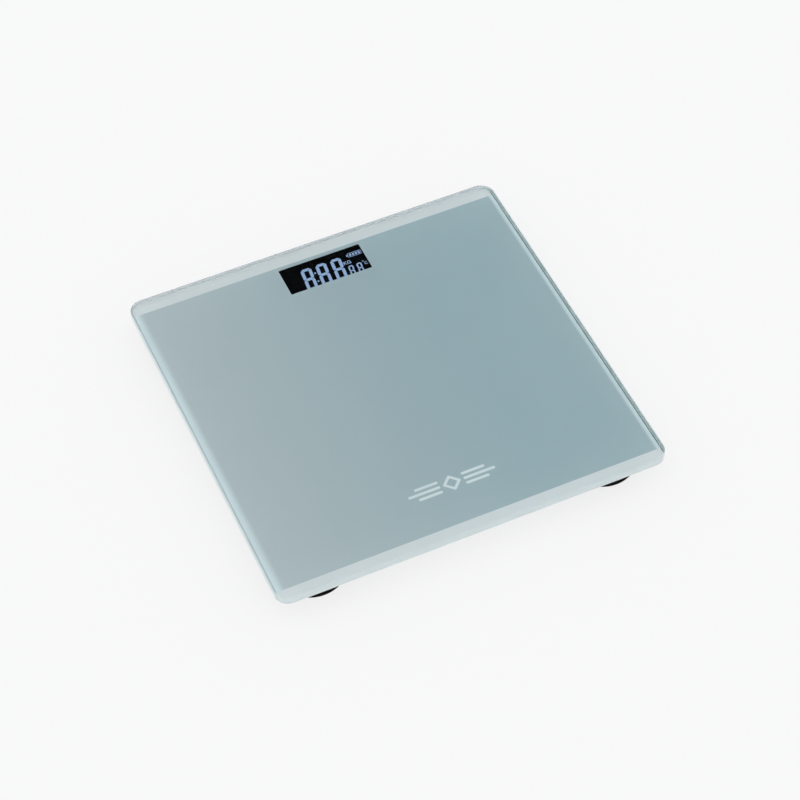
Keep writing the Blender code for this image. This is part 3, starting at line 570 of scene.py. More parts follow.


# Painted light falloff: the field is painted paler and warmer towards the left.
across = ramp_x(*PAINTED_LIGHT_FALLOFF_X)
field = mix_colour(tree, across, "#c3cccf", "#aec2c8")
mottle = noise(tree, point, 35.0, 3.0)
field = mix_colour(tree, remap(tree, mottle, 0.0, 0.12), field, "#b9cbd0")
from_middle = add(tree, "ShaderNodeMath", {0: place.outputs["Y"]}, operation="ABSOLUTE")
band = remap(tree, from_middle, 0.0, 1.0, (BAND_Y - BAND_SOFT) * MM, (BAND_Y + BAND_SOFT) * MM)
# Painted light: the print is painted paler over its last few millimetres along each side, for light entering
# the edge of the glass.
painted_edge_lights = [ramp_x(*reach) for reach in (LEFT_PAINTED_EDGE_LIGHT, RIGHT_PAINTED_EDGE_LIGHT)]
painted_edge_light = add(tree, "ShaderNodeMath", {0: painted_edge_lights[0], 1: painted_edge_lights[1]}, operation="MAXIMUM")
# A painted shade line closes the print along each side: a dark hairline that stands for the shade seen
# through the edge of the glass.
lines = [
    add(tree, "ShaderNodeMath", {0: place.outputs["X"], 1: x * MM, 2: PAINTED_SHADE_LINE_HALF * MM}, operation="COMPARE")
    for x in PAINTED_SHADE_LINES_X
]
fainter_left_painted_shade = add(tree, "ShaderNodeMath", {0: lines[0], 1: LEFT_PAINTED_SHADE_SHARE}, operation="MULTIPLY")
painted_shade_line = add(tree, "ShaderNodeMath", {0: fainter_left_painted_shade, 1: lines[1]}, operation="MAXIMUM")
silver = "#e6e9eb"
print_with_painted_edge_light = mix_colour(tree, painted_edge_light, field, "#e3eef1")
print_with_painted_light = mix_colour(tree, painted_shade_line, mix_colour(tree, band, print_with_painted_edge_light, silver), "#5f7478")
ink_grain = noise(tree, point, 0.4, 2.0)
print_with_painted_light = mix_colour(tree, remap(tree, ink_grain, 0.0, 0.05), print_with_painted_light, "#ffffff")
tree.links.new(print_with_painted_light.outputs[2], shader.inputs["Base Color"])
ink_bump = add(tree, "ShaderNodeBump", {"Height": ink_grain, "Distance": 0.003 * MM, "Strength": 0.5})
tree.links.new(ink_bump.outputs[0], shader.inputs["Normal"])

film_top = glass_low.z + SUNK
backing_top = film_low.z + BACKING_THICK + 0.01
window_outline = [
    (x + window_centre[0], y + window_centre[1])
    for x, y in rounded_outline(*window_size, WINDOW_CORNER, 3)
]
window_hole = (add_prism, window_outline, film_low.z - 1, film_top + 1)
film_corner = PLATE_CORNER - FILM_INSET
layer = (
    add_slab, (film_side, film_side, film_top - backing_top), (0, 0, backing_top), film_corner, 0.02, 1, 16
)
film = make("printed_film_visible", print_ink_and_painted_light, [layer], [window_hole])
show(film, "chassis", "printed_film", "printed_film")

# The back of the film is a white vinyl layer; it is what is seen from below.
vinyl = moulded("calendered_white_vinyl", "#a0a5a7", "#a8adaf", 0.5, 0.7, 0.006, 60.0)
layer = (add_slab, (film_side, film_side, BACKING_THICK), (0, 0, film_low.z), film_corner, 0.02, 1, 16)
backing = make("film_backing", vinyl, [layer], [window_hole])
show(backing, "chassis", "printed_film")

# Laminating adhesive squeezes out past the film as a thin bead. Along the two sides it is painted
# greyer, as painted shade, with random clumps in its tone; at the front and rear it keeps the tone of the
# bands.
edge_bead, tree, shader, point = start_material("laminating_adhesive_bead", "#aebabd", 0.4)
place = add(tree, "ShaderNodeSeparateXYZ", {"Vector": point})
reach_x = add(tree, "ShaderNodeMath", {0: place.outputs["X"]}, operation="ABSOLUTE")
reach_y = add(tree, "ShaderNodeMath", {0: place.outputs["Y"]}, operation="ABSOLUTE")
sideways = add(tree, "ShaderNodeMath", {0: reach_x, 1: reach_y}, operation="SUBTRACT")
# Painted shade: the bead turns greyer where it runs along the two sides.
painted_side_shade = remap(tree, sideways, 0.0, 1.0, -4.0 * MM, 4.0 * MM)
clumps = noise(tree, point, 2.5, 3.0)
side_shade_and_clumps = mix_colour(tree, remap(tree, clumps, 0, 1), "#bccacb", "#cbd6d6")
tree.links.new(mix_colour(tree, painted_side_shade, silver, side_shade_and_clumps).outputs[2], shader.inputs["Base Color"])
tree.links.new(remap(tree, clumps, 0.35, 0.5).outputs[0], shader.inputs["Roughness"])
bead_bump = add(tree, "ShaderNodeBump", {"Height": clumps, "Distance": 0.01 * MM, "Strength": 0.6})
tree.links.new(bead_bump.outputs[0], shader.inputs["Normal"])
BEAD_DEEP, BEAD_RISE = 0.3, 0.005
BEAD_OUT = 0.1
ARRIS_STEPS = 6
ARRIS_FULL = 80.0
BEAD_LAP = 0.05
bead_inner = film_side - 2 * BEAD_LAP
bead_rings = [(bead_inner, film_top - BEAD_DEEP), (plate_side - 2 * BEAD_OUT - 0.3, film_top - BEAD_DEEP)]
for step in range(ARRIS_STEPS + 1):
    angle = math.radians(90 - ARRIS_FULL + ARRIS_FULL * step / ARRIS_STEPS)
    arris = POLISHED_EDGE - SUNK
    ring_side = plate_side - 2 * POLISHED_EDGE + 2 * arris * math.cos(angle)
    bead_rings.append((ring_side, glass_low.z + POLISHED_EDGE - arris * math.sin(angle)))
bead_rings.append((bead_inner, film_top + BEAD_RISE))
shape = bmesh.new()
bead_outlines = [(rounded_outline(w, w, PLATE_CORNER - (plate_side - w) / 2, 16), z) for w, z in bead_rings]
add_loft(shape, bead_outlines, (0, 0), True)
bead = piece_from(shape, "laminate_edge_bead", edge_bead)
show(bead, "chassis", "printed_film")

# %% [markdown]
# A plain printed ornament stands near the front edge: a diamond frame between two fans of lines, in the
# same silver as the bands. It says nothing; it only gives the plate the small pale accent that such
# plates carry.

# %% Printed ornament
ORNAMENT_CENTRE = (0.6, -97.0)
WING_LINES = ((23.0, 0.0), (17.0, 4.2), (17.0, -4.2))
LINE_THICK = 2.2
WING_START = 8.5
DIAMONDS = ((9.6, 1.0), (5.6, 0.6))
INK_THICK = 0.03
pale_ink = moulded("pale_silver_screen_ink", "#e6eef0", "#f2f7f8", 0.5, 0.4, 0.002)
shape = bmesh.new()
ox, oy = ORNAMENT_CENTRE
for sign in (-1, 1):
    for length, dy in WING_LINES:
        middle_x = ox + sign * (WING_START + length / 2)
        line = [(x + middle_x, y + oy + dy) for x, y in rounded_outline(length, LINE_THICK, 1.0, 6)]
        add_prism(shape, line, film_top - INK_THICK, film_top + INK_THICK)
turn_45 = math.sqrt(0.5)
outer, inner = (
    [((x - y) * turn_45 + ox, (x + y) * turn_45 + oy) for x, y in rounded_outline(side, side, corner, 6)]
    for side, corner in DIAMONDS
)
ink_low, ink_high = film_top - INK_THICK, film_top + INK_THICK
add_loft(shape, [(outer, ink_low), (outer, ink_high), (inner, ink_high), (inner, ink_low)], (0, 0), True)
ornament = piece_from(shape, "printed_ornament", pale_ink)
show(ornament, "chassis", "printed_film")

# %% [markdown]
# ## The display
# The display is a negative liquid-crystal panel: its ground is black, and its segments let the cool
# white of the light guide through, tinted blue by the polarisers. The panel lies about 4.7 mm below
# the print, so from in front the lower ends of the digits hide behind the window's edge. The segments
# are real shapes. One function draws the seven bars of a digit from its width, height and stroke, cut
# at 45 degrees where the bars meet, and leans them to the right as such displays do.

# %% Display glass
lcd_low, lcd_high = box_mm("lcd_panel")
lcd_centre = tuple(middle_mm("lcd_panel")[:2])
LEDGE = 4.0
SHEET = 1.1
POLARISER = 0.2
lcd_black, tree, shader, point = start_material("black_LCD_polariser", "#04050a", 0.12)
shader.inputs["Specular IOR Level"].default_value = 0.15
drift = noise(tree, point, 9.0, 3.0)
tree.links.new(
    mix_colour(tree, remap(tree, drift, 0, 1), "#030408", "#06070d").outputs[2], shader.inputs["Base Color"]
)
film_bump = add(
    tree, "ShaderNodeBump", {"Height": noise(tree, point, 1.2), "Distance": 0.001 * MM, "Strength": 0.5}
)
tree.links.new(film_bump.outputs[0], shader.inputs["Normal"])
shape = bmesh.new()
lcd_width = lcd_high.x - lcd_low.x
lcd_depth = lcd_high.y - lcd_low.y
upper_y = lcd_centre[1] + LEDGE / 2
add_slab(shape, (lcd_width, lcd_depth, SHEET), (*lcd_centre, lcd_low.z), 0.3, 0.1, 2, 3)
add_slab(
    shape,
    (lcd_width, lcd_depth - LEDGE, SHEET),
    (lcd_centre[0], upper_y, lcd_low.z + SHEET + 0.02),
    0.3,
    0.1,
    2,
    3,
)
polariser_z = lcd_high.z - POLARISER
add_slab(
    shape,
    (lcd_width - 2, lcd_depth - LEDGE - 1.5, POLARISER),
    (lcd_centre[0], upper_y, polariser_z),
    0.3,
    0.05,
    1,
    3,
)
lcd = piece_from(shape, "lcd_glass_stack", lcd_black)
show(lcd, "chassis", "lcd_glass", "lcd_panel")

# %% Segments
LEAN_TAN = 0.103
CUT = 0.09
SEGMENT_RISE = 0.03
BASELINE = (1.5, 103.7)


def inset(outline, gap):
    """Draws a convex outline in by `gap` on every side."""
    count = len(outline)
    centre = [sum(p[k] for p in outline) / count for k in (0, 1)]
    lines = []
    for (ax, ay), (bx, by) in zip(outline, outline[1:] + outline[:1]):
        length = math.hypot(bx - ax, by - ay)
        nx, ny = (by - ay) / length, (ax - bx) / length
        reach = nx * ax + ny * ay
        if nx * centre[0] + ny * centre[1] > reach:
            nx, ny, reach = -nx, -ny, -reach
        lines.append((nx, ny, reach - gap))
    points = []
    for (a, b, c), (d, e, f) in zip(lines[-1:] + lines[:-1], lines):
        cross = a * e - b * d
        points.append(((c * e - b * f) / cross, (a * f - c * d) / cross))
    return points


def digit_bars(width, height, stroke):
    """The seven bars of an 8, as outlines that start at its lower left corner."""
    chamfer, notch, mid, half = stroke * 0.75, stroke * 0.42, height / 2, stroke / 2
    top = [
        (chamfer, height),
        (width - chamfer, height),
        (width - chamfer / 2, height - chamfer / 2),
        (width - stroke, height - stroke),
        (stroke, height - stroke),
        (chamfer / 2, height - chamfer / 2),
    ]
    left = [
        (0, height - chamfer),
        (chamfer / 2, height - chamfer / 2),
        (stroke, height - stroke),
        (stroke, mid + half),
        (notch, mid),
        (0, mid + notch),
    ]
    middle = [
        (stroke, mid + half),
        (width - stroke, mid + half),
        (width - notch, mid),
        (width - stroke, mid - half),
        (stroke, mid - half),
        (notch, mid),
    ]
    bars = [middle]
    for bar in (top, left):
        bars.append(bar)
        bars.append([(x, height - y) for x, y in bar])
    bars += [[(width - x, y) for x, y in bar] for bar in (left, bars[4])]
    return bars


def lean(outline, x0, y0):
    """Places an outline on the display and leans it to the right."""
    return [(BASELINE[0] + x0 + x + LEAN_TAN * (y + y0), BASELINE[1] + y0 + y) for x, y in outline]


# Each row of digits: its left end, the step to the next digit, width, height, stroke and count.
DIGIT_ROWS = ((-18.9, 11.4, 8.3, 20.8, 2.5, 3), (14.6, 6.4, 4.1, 10.2, 1.25, 2))
DIGITS = [
    (first + step * i, width, height, stroke)
    for first, step, width, height, stroke, count in DIGIT_ROWS
    for i in range(count)
]
shape = bmesh.new()
segment_base = lcd_high.z + 0.002
segment_top = segment_base + SEGMENT_RISE
for x0, width, height, stroke in DIGITS:
    for bar in digit_bars(width, height, stroke):
        add_prism(shape, lean(inset(bar, CUT), x0, 0), segment_base, segment_top)
DOT, DOT_X, DOT_HEIGHTS = 1.4, -9.2, (6.0, 14.0)
for y0 in DOT_HEIGHTS:
    dot = rounded_outline(DOT, DOT, DOT / 2 - 0.01, 4)
    add_prism(shape, lean(dot, DOT_X, y0), segment_base, segment_top)
# The battery symbol: a nub, a case and its four bars.
BATTERY_AT = (18.6, 19.6)
nub = rounded_outline(0.9, 1.8, 0.3, 3)
add_prism(shape, lean(nub, BATTERY_AT[0] - 1.4, BATTERY_AT[1]), segment_base, segment_top)
for i in range(4):
    bar = rounded_outline(1.5, 2.3, 0.25, 3)
    add_prism(shape, lean(bar, BATTERY_AT[0] + 1.2 + 2.2 * i, BATTERY_AT[1]), segment_base, segment_top)
CASE_LONG, CASE_HIGH, CASE_LINE = 9.9, 3.6, 0.35
case_x, case_y = BATTERY_AT[0] + 4.4, BATTERY_AT[1]
for sign in (-1, 1):
    rail = rounded_outline(CASE_LONG, CASE_LINE, 0.15, 2)
    add_prism(shape, lean(rail, case_x, case_y + sign * CASE_HIGH / 2), segment_base, segment_top)
    post = rounded_outline(CASE_LINE, CASE_HIGH, 0.15, 2)
    add_prism(shape, lean(post, case_x + sign * CASE_LONG / 2, case_y), segment_base, segment_top)
print("digits on the display:", len(DIGITS))

lit, tree, shader, point = start_material("lit_blue_white_segment", "#20252f", 0.35)
shader.inputs["Emission Color"].default_value = linear("#93abd0")
shader.inputs["Emission Strength"].default_value = 1.0
weave = noise(tree, point, 0.5, 1.0, (1, 8, 1))
tree.links.new(
    mix_colour(tree, remap(tree, weave, 0, 1), "#1a2030", "#39435c").outputs[2], shader.inputs["Base Color"]
)
segments = piece_from(shape, "lcd_segments", lit)
show(segments, "chassis", "lcd_glass")


LETTER_WEIGHT = 0.06
UNIT_LETTERS = (("KG", 4.3, 12.6, 12.2), ("C", 3.6, 27.0, 6.6))
DEGREE_AT, DEGREE_IN, DEGREE_OUT = (26.5, 10.3), 0.35, 0.62


def lettering(text, size, x0, y0):
    """Unit letters as thin raised shapes, from Blender's own plain typeface."""
    curve = bpy.data.curves.new(text, "FONT")
    curve.body = text
    curve.size = size * MM
    curve.extrude = SEGMENT_RISE / 2 * MM
    curve.offset = LETTER_WEIGHT * MM
    letters = bpy.data.objects.new("unit_letters", curve)
    scene.collection.objects.link(letters)
    bpy.context.view_layer.update()
    mesh = bpy.data.meshes.new_from_object(letters.evaluated_get(bpy.context.evaluated_depsgraph_get()))
    bpy.data.objects.remove(letters)
    origin = lean([(0, 0)], x0, y0)[0]
    shift = Vector((*origin, segment_base + SEGMENT_RISE / 2)) * MM
    mesh.transform(Matrix.Translation(shift))
    return mesh


shape = bmesh.new()
for text, size, x0, y0 in UNIT_LETTERS:
    shape.from_mesh(lettering(text, size, x0, y0))
inside, outside = [[(r, segment_base), (r, segment_top)] for r in (DEGREE_IN, DEGREE_OUT)]
add_turned(shape, [*inside, *reversed(outside), inside[0]], lean([(0, 0)], *DEGREE_AT)[0], 16)
units = piece_from(shape, "lcd_unit_letters", lit)
show(units, "chassis", "lcd_glass")

# %% [markdown]
# ## Things that repeat, and things that follow a path
# Three Geometry Nodes trees do the repetitive work, each with named inputs so that one tree serves many
# pieces. The first puts a copy of a small object on every point of a mesh, optionally turned to face
# away from the middle: screws, tread ribs, chips and solder joints. The second lays twisted cores round
# a curve, as a cable machine does. The third winds a conical spring. Every result is turned into a
# plain mesh straight away, because a finished piece should not depend on live modifiers.


# %% Geometry tree: a copy on every point
def new_tree(name, inputs):
    """A geometry node group with these named inputs besides its geometry."""
    tree = bpy.data.node_groups.new(name, "GeometryNodeTree")
    tree.interface.new_socket("Geometry", in_out="INPUT", socket_type="NodeSocketGeometry")
    for label, kind in inputs:
        tree.interface.new_socket(label, in_out="INPUT", socket_type=f"NodeSocket{kind}")
    tree.interface.new_socket("Geometry", in_out="OUTPUT", socket_type="NodeSocketGeometry")
    return tree, tree.nodes.new("NodeGroupInput").outputs


def end_tree(tree, geometry, *finishes):
    """Ends a tree in Realize Instances and Set Material; a finish is (material socket, selection or None)."""
    last = add(tree, "GeometryNodeRealizeInstances", {"Geometry": geometry})
    for material, selection in finishes:
        sockets = {"Geometry": last, "Material": material}
        if selection:
            sockets["Selection"] = selection
        last = add(tree, "GeometryNodeSetMaterial", sockets)
    add(tree, "NodeGroupOutput", {"Geometry": last})
    return tree


def attach_tree(obj, tree, inputs):
    """Puts a tree on an object as a modifier, with its inputs set by socket identifier."""
    modifier = obj.modifiers.new(tree.name, "NODES")
    modifier.node_group = tree
    for item in tree.interface.items_tree:
        label = item.name.replace(" ", "_").lower()
        if item.in_out == "INPUT" and label in inputs:
            modifier[item.identifier] = inputs[label]


def run_tree(obj, tree, **inputs):
    """Runs a tree on a mesh object and bakes the result."""
    attach_tree(obj, tree, inputs)
    bake(obj)
    obj.data.shade_smooth()
    obj.data.set_sharp_from_angle(angle=SMOOTH_ANGLE)
    return obj


copies_tree, given = new_tree(
    "copies_on_points", (("Copy", "Object"), ("Turn", "Float"), ("Finish", "Material"))
)
position = add(copies_tree, "GeometryNodeInputPosition")
axes = add(copies_tree, "ShaderNodeSeparateXYZ", {"Vector": position})
bearing = add(
    copies_tree, "ShaderNodeMath", {0: axes.outputs["Y"], 1: axes.outputs["X"]}, operation="ARCTAN2"
)
turned = add(copies_tree, "ShaderNodeMath", {0: bearing, 1: given["Turn"]}, operation="MULTIPLY")
heading = add(
    copies_tree, "FunctionNodeEulerToRotation", {0: add(copies_tree, "ShaderNodeCombineXYZ", {"Z": turned})}
)
copied = add(copies_tree, "GeometryNodeObjectInfo", {"Object": given["Copy"]}).outputs["Geometry"]
placed = add(
    copies_tree, "GeometryNodeInstanceOnPoints", {
        "Points": given["Geometry"], "Instance": copied, "Rotation": heading
    }
)
end_tree(copies_tree, placed, (given["Finish"], None))


def copies(name, master, points, material, turn=0.0):
    """Copies the master object to each point, in millimetres, as one plain mesh; the master is used up."""
    mesh = bpy.data.meshes.new(name)
    mesh.from_pydata([Vector(p) * MM for p in points], [], [])
    obj = bpy.data.objects.new(name, mesh)
    scene.collection.objects.link(obj)
    run_tree(obj, copies_tree, copy=master, turn=turn, finish=material)
    bpy.data.objects.remove(master)
    print(f"{name}: {len(points)} copies, {len(obj.data.polygons)} faces")
    return obj


def merge(name, *objects):
    """Joins finished objects into the first and names it."""
    shape = bmesh.new()
    materials = []
    for obj in objects:
        start = len(shape.faces)
        shape.from_mesh(obj.data)
        shape.faces.ensure_lookup_table()
        for face in shape.faces[start:]:
            material = obj.data.materials[face.material_index]
            if material not in materials:
                materials.append(material)
            face.material_index = materials.index(material)
        bpy.data.objects.remove(obj)
    joined = piece_from(shape, name)
    for material in materials:
        joined.data.materials.append(material)
    return joined


# %% Geometry tree: twisted cores along a curve
WIRE_SIDES = 10
COIL_STEPS = 28


def cores_tree(count):
    """A tree that lays `count` round cores in a helix about a curve."""
    finishes = [(f"Core {i + 1}", "Material") for i in range(count)]
    tree, given = new_tree(
        f"twisted_{count}_core", [
            ("Core radius", "Float"), ("Lay radius", "Float"), ("Pitch", "Float"), *finishes
        ]
    )
    profile = add(
        tree, "GeometryNodeCurvePrimitiveCircle", {"Resolution": WIRE_SIDES, "Radius": given["Core radius"]}
    ).outputs["Curve"]
    along = add(tree, "GeometryNodeSplineParameter").outputs["Length"]
    turns = add(tree, "ShaderNodeMath", {0: along, 1: given["Pitch"]}, operation="DIVIDE")
    normal = add(tree, "GeometryNodeInputNormal").outputs["Normal"]
    tangent = add(tree, "GeometryNodeInputTangent").outputs["Tangent"]
    side = add(tree, "ShaderNodeVectorMath", {0: tangent, 1: normal}, operation="CROSS_PRODUCT")
    joined = tree.nodes.new("GeometryNodeJoinGeometry")
    for i in range(count):
        angle = add(
            tree, "ShaderNodeMath", {0: turns, 1: math.tau, 2: math.tau * i / count}, operation="MULTIPLY_ADD"
        )
        legs = []
        for operation, axis in (("COSINE", normal), ("SINE", side)):
            share = add(tree, "ShaderNodeMath", {0: angle}, operation=operation)
            reach = add(tree, "ShaderNodeMath", {0: share, 1: given["Lay radius"]}, operation="MULTIPLY")
            legs.append(add(tree, "ShaderNodeVectorMath", {0: axis, "Scale": reach}, operation="SCALE"))
        offset = add(tree, "ShaderNodeVectorMath", {0: legs[0], 1: legs[1]}, operation="ADD")
        laid = add(tree, "GeometryNodeSetPosition", {"Geometry": given["Geometry"], "Offset": offset})
        core = add(
            tree, "GeometryNodeCurveToMesh", {"Curve": laid, "Profile Curve": profile, "Fill Caps": True}
        )
        tagged = add(
            tree, "GeometryNodeStoreNamedAttribute",
            {"Geometry": core, "Name": "core", "Value": float(i)}, data_type="FLOAT", domain="FACE",
        )
        tree.links.new(tagged.outputs[0], joined.inputs[0])
    tag = add(
        tree, "GeometryNodeInputNamedAttribute", {"Name": "core"}, data_type="FLOAT"
    ).outputs["Attribute"]
    ends = []
    for i in range(count):
        chosen = add(tree, "ShaderNodeMath", {0: tag, 1: i - 0.5}, operation="GREATER_THAN")
        ends.append((given[f"Core {i + 1}"], chosen))
    return end_tree(tree, joined, *ends)


three_core, one_core = cores_tree(3), cores_tree(1)


def smooth_route(knots, spacing):
    """Points about `spacing` apart along a Catmull-Rom curve through the knots."""
    knots = [Vector(k) for k in knots]
    ends = [2 * knots[0] - knots[1], *knots, 2 * knots[-1] - knots[-2]]
    route = [knots[0]]
    for before, start, end, after in zip(ends, ends[1:], ends[2:], ends[3:]):
        count = max(1, round((end - start).length / spacing))
        for t in (step / count for step in range(1, count + 1)):
            straight = 2 * start + (end - before) * t
            bend = (2 * before - 5 * start + 4 * end - after) * t**2
            route.append(0.5 * (straight + bend + (3 * start - before - 3 * end + after) * t**3))
    return route


def wire(name, knots, tree, spacing=1.0, **inputs):
    """A wire along a smooth route through the knots, made by one of the core trees."""
    curve = bpy.data.curves.new(name, "CURVE")
    curve.dimensions = "3D"
    route = smooth_route(knots, spacing)
    spline = curve.splines.new("POLY")
    spline.points.add(len(route) - 1)
    for target, point in zip(spline.points, route):
        target.co = (*(point * MM), 1.0)
    source = bpy.data.objects.new(name, curve)
    scene.collection.objects.link(source)
    attach_tree(source, tree, inputs)
    bpy.context.view_layer.update()
    mesh = bpy.data.meshes.new_from_object(source.evaluated_get(bpy.context.evaluated_depsgraph_get()))
    bpy.data.objects.remove(source)
    mesh.attributes.remove(mesh.attributes["core"])
    mesh.shade_smooth()
    mesh.set_sharp_from_angle(angle=SMOOTH_ANGLE)
    obj = bpy.data.objects.new(name, mesh)
    scene.collection.objects.link(obj)
    return obj


# %% Geometry tree: a conical spring
spring_tree, given = new_tree(
    "conical_spring",
    (
        ("Wide", "Float"),
        ("Narrow", "Float"),
        ("Rise", "Float"),
        ("Turns", "Float"),
        ("Wire", "Float"),
        ("Finish", "Material"),
    ),
)
coil = add(
    spring_tree,
    "GeometryNodeCurveSpiral",
    {
        "Resolution": COIL_STEPS,
        "Rotations": given["Turns"],
        "Start Radius": given["Wide"],
        "End Radius": given["Narrow"],
        "Height": given["Rise"],
    },
)
section = add(
    spring_tree, "GeometryNodeCurvePrimitiveCircle", {"Resolution": WIRE_SIDES, "Radius": given["Wire"]}
).outputs["Curve"]
wound = add(
    spring_tree, "GeometryNodeCurveToMesh", {"Curve": coil, "Profile Curve": section, "Fill Caps": True}
)
end_tree(spring_tree, wound, (given["Finish"], None))

# %% [markdown]
# ## Moulded corners and placed copies
# No moulded or stamped part has a knife edge, so a turned profile is softened at every corner before it
# is spun. The four feet are alike: each foot piece is made once, round the origin, and its mesh is
# copied to each corner, turned so that its wire leaves in the right direction.


# %% Helpers: soft profiles and placed copies
def soften(profile, radius=0.3, steps=3):
    """Rounds every inner corner of an open profile with a short curve."""
    points = [profile[0]]
    for before, corner, after in zip(profile, profile[1:], profile[2:]):
        a, b, c = (Vector(p) for p in (before, corner, after))
        reach = min(radius, (a - b).length * 0.45, (c - b).length * 0.45)
        start = b + (a - b).normalized() * reach
        end = b + (c - b).normalized() * reach
        for t in (step / steps for step in range(steps + 1)):
            points.append(tuple((1 - t) ** 2 * start + 2 * t * (1 - t) * b + t * t * end))
    return [*points, profile[-1]]


def copy_at(master, name, place, turn=0.0):
    """A copy of a piece, turned about the upright axis and moved to a place in millimetres."""
    mesh = master.data.copy()
    mesh.transform(Matrix.Translation(Vector((*place, 0)) * MM) @ Matrix.Rotation(turn, 4, "Z"))
    obj = bpy.data.objects.new(name, mesh)
    scene.collection.objects.link(obj)
    return obj


WIRE_EXIT_TURN = {"front_left": 0, "front_right": 0, "rear_left": -math.pi / 2, "rear_right": math.pi / 2}


def at_corners(master, stem, slot, moving=False):
    """Puts a foot piece at all four corners, on the chassis or on its own moving foot."""
    for corner in CORNERS:
        middle = middle_mm(f"foot_housing_{corner}")
        obj = copy_at(master, f"{master.name}_{corner}", tuple(middle[:2]), WIRE_EXIT_TURN[corner])
        show(obj, f"foot_{corner}" if moving else "chassis", slot, f"{stem}_{corner}")
    bpy.data.objects.remove(master)


def bar(x, y, width, depth, bottom, top, corner=0.3, edge=0.1):
    """The arguments of a small rounded block, for `make`."""
    return (add_slab, (width, depth, top - bottom), (x, y, bottom), corner, edge, 2, 3)


print("corner turns:", {k: round(math.degrees(v)) for k, v in WIRE_EXIT_TURN.items()})

# %% [markdown]
# ## The weighing feet
# Each foot is a small load cell. A cup is bonded under the glass with a disc of foam tape; two rails in
# its roof hold the frame of a spring-steel plate, and a dish below presses the plate's tongue. The
# dish is captive: a bead on its skirt catches behind the cup's lip when the scale is lifted. All the
# round parts are spun from softened profiles. The rubber sole has three rings of short tread ribs,
# which are copies of one rib, set out by the first tree.

# %% Foot sizes from the model
housing_low, housing_high = box_mm("foot_housing_front_left")
cap_low = box_mm("foot_cap_front_left")[0]
pad_low, pad_high = box_mm("foot_pad_front_left")
cell_low, cell_high = box_mm("load_cell_front_left")
FOOT_R = (housing_high.x - housing_low.x) / 2
PAD_R = (pad_high.x - pad_low.x) / 2
SOLE_R = PAD_R + 0.8
LIP_R, BORE_R, ROOF = 20.0, 20.6, 1.2
roof_below = housing_high.z - ROOF
print("foot radius", round(FOOT_R, 2), "cell from", round(cell_low.z, 2), "to", round(cell_high.z, 2))

# %% Foam tape, cup and rails
TAPE_R = 21.0
tape_bottom, tape_top = housing_high.z + 0.01, film_low.z - 0.01
tape_middle = (tape_bottom + tape_top) / 2
tape_profile = [
    (0, tape_top), (TAPE_R, tape_top), (TAPE_R + 0.2, tape_middle), (TAPE_R, tape_bottom), (0, tape_bottom)
]
tape = make("foam_disc", foam_white, [(add_turned, soften(tape_profile))])
at_corners(tape, "foot_tape", "foam_tape")

cup_profile = [
    (0, housing_high.z),
    (FOOT_R - 0.15, housing_high.z),
    (FOOT_R - 0.1, housing_low.z + 1.3),
    (FOOT_R, housing_low.z + 1.1),
    (FOOT_R, housing_low.z),
    (LIP_R, housing_low.z),
    (LIP_R, housing_low.z + 0.6),
    (BORE_R, housing_low.z + 0.6),
    (BORE_R, roof_below),
    (0, roof_below),
]
WIRE_WAY = (2.6, 6.0)
WIRE_WAY_Z = (12.1, 14.25)
rails = [bar(s * 12.0, 0, 3.0, 22.0, cell_high.z + 0.02, roof_below + 0.4) for s in (-1, 1)]
peg_profile = [(0, 12.9), (1.0, 12.9), (1.2, 13.3), (1.2, 14.4), (0, 14.4)]
pegs = [(add_turned, peg_profile, (s * 6.0, -16.5), 16) for s in (-1, 1)]
cup = make(
    "moulded_cup",
    abs_black,
    [(add_turned, soften(cup_profile))],
    [(add_slab, (*WIRE_WAY, WIRE_WAY_Z[1] - WIRE_WAY_Z[0]), (0, FOOT_R - 1, WIRE_WAY_Z[0]), 0.4, 0.2)],
    rails + pegs,
)
at_corners(cup, "foot_housing", "black_abs")

# %% Load cell and its gauge
CELL_SIDE = 28.0
SLOT_WIDE, SLOT_LONG, SLOT_OUT = 3.0, 20.0, 8.5
RIVET_HOLE, RIVET_OUT = 0.9, 11.7
BELOW_CELL, ABOVE_CELL = 9, 14
slot_parts = []
for s in (-1, 1):
    outline = [(x + s * SLOT_OUT, y) for x, y in rounded_outline(SLOT_WIDE, SLOT_LONG, 1.45, 5)]
    slot_parts.append((add_prism, outline, BELOW_CELL, ABOVE_CELL))
outline = [(x, y + SLOT_OUT) for x, y in rounded_outline(19.6, SLOT_WIDE, 1.45, 5)]
slot_parts.append((add_prism, outline, BELOW_CELL, ABOVE_CELL))
hole = [(0, BELOW_CELL), (RIVET_HOLE, BELOW_CELL), (RIVET_HOLE, ABOVE_CELL), (0, ABOVE_CELL)]
for sx in (-1, 1):
    for sy in (-1, 1):
        slot_parts.append((add_turned, hole, (sx * RIVET_OUT, sy * RIVET_OUT), 16))
plate_size = (CELL_SIDE, CELL_SIDE, cell_high.z - cell_low.z)
seat_low, seat_high = cell_low.z - 0.25, cell_low.z + 0.1
seat_profile = [(0, seat_low), (2.6, seat_low), (3.0, seat_high), (0, seat_high)]
press_seat = (add_turned, soften(seat_profile), (0, 0), 32)
cell = make(
    "stamped_load_cell",
    stamped,
    [(add_slab, plate_size, (0, 0, cell_low.z), 4.0, 0.18, 2, 6)],
    slot_parts,
    [press_seat],
)
at_corners(cell, "load_cell", "plated_steel")

gauge_top = box_mm("strain_gauge_front_left")[1].z
gauge = make(
    "potted_gauge",
    silicone,
    [(add_slab, (6.0, 7.0, gauge_top - cell_high.z + 0.02), (0, -4.0, cell_high.z - 0.02), 2.2, 0.72, 6, 6)],
)
at_corners(gauge, "strain_gauge", "gauge_coating")

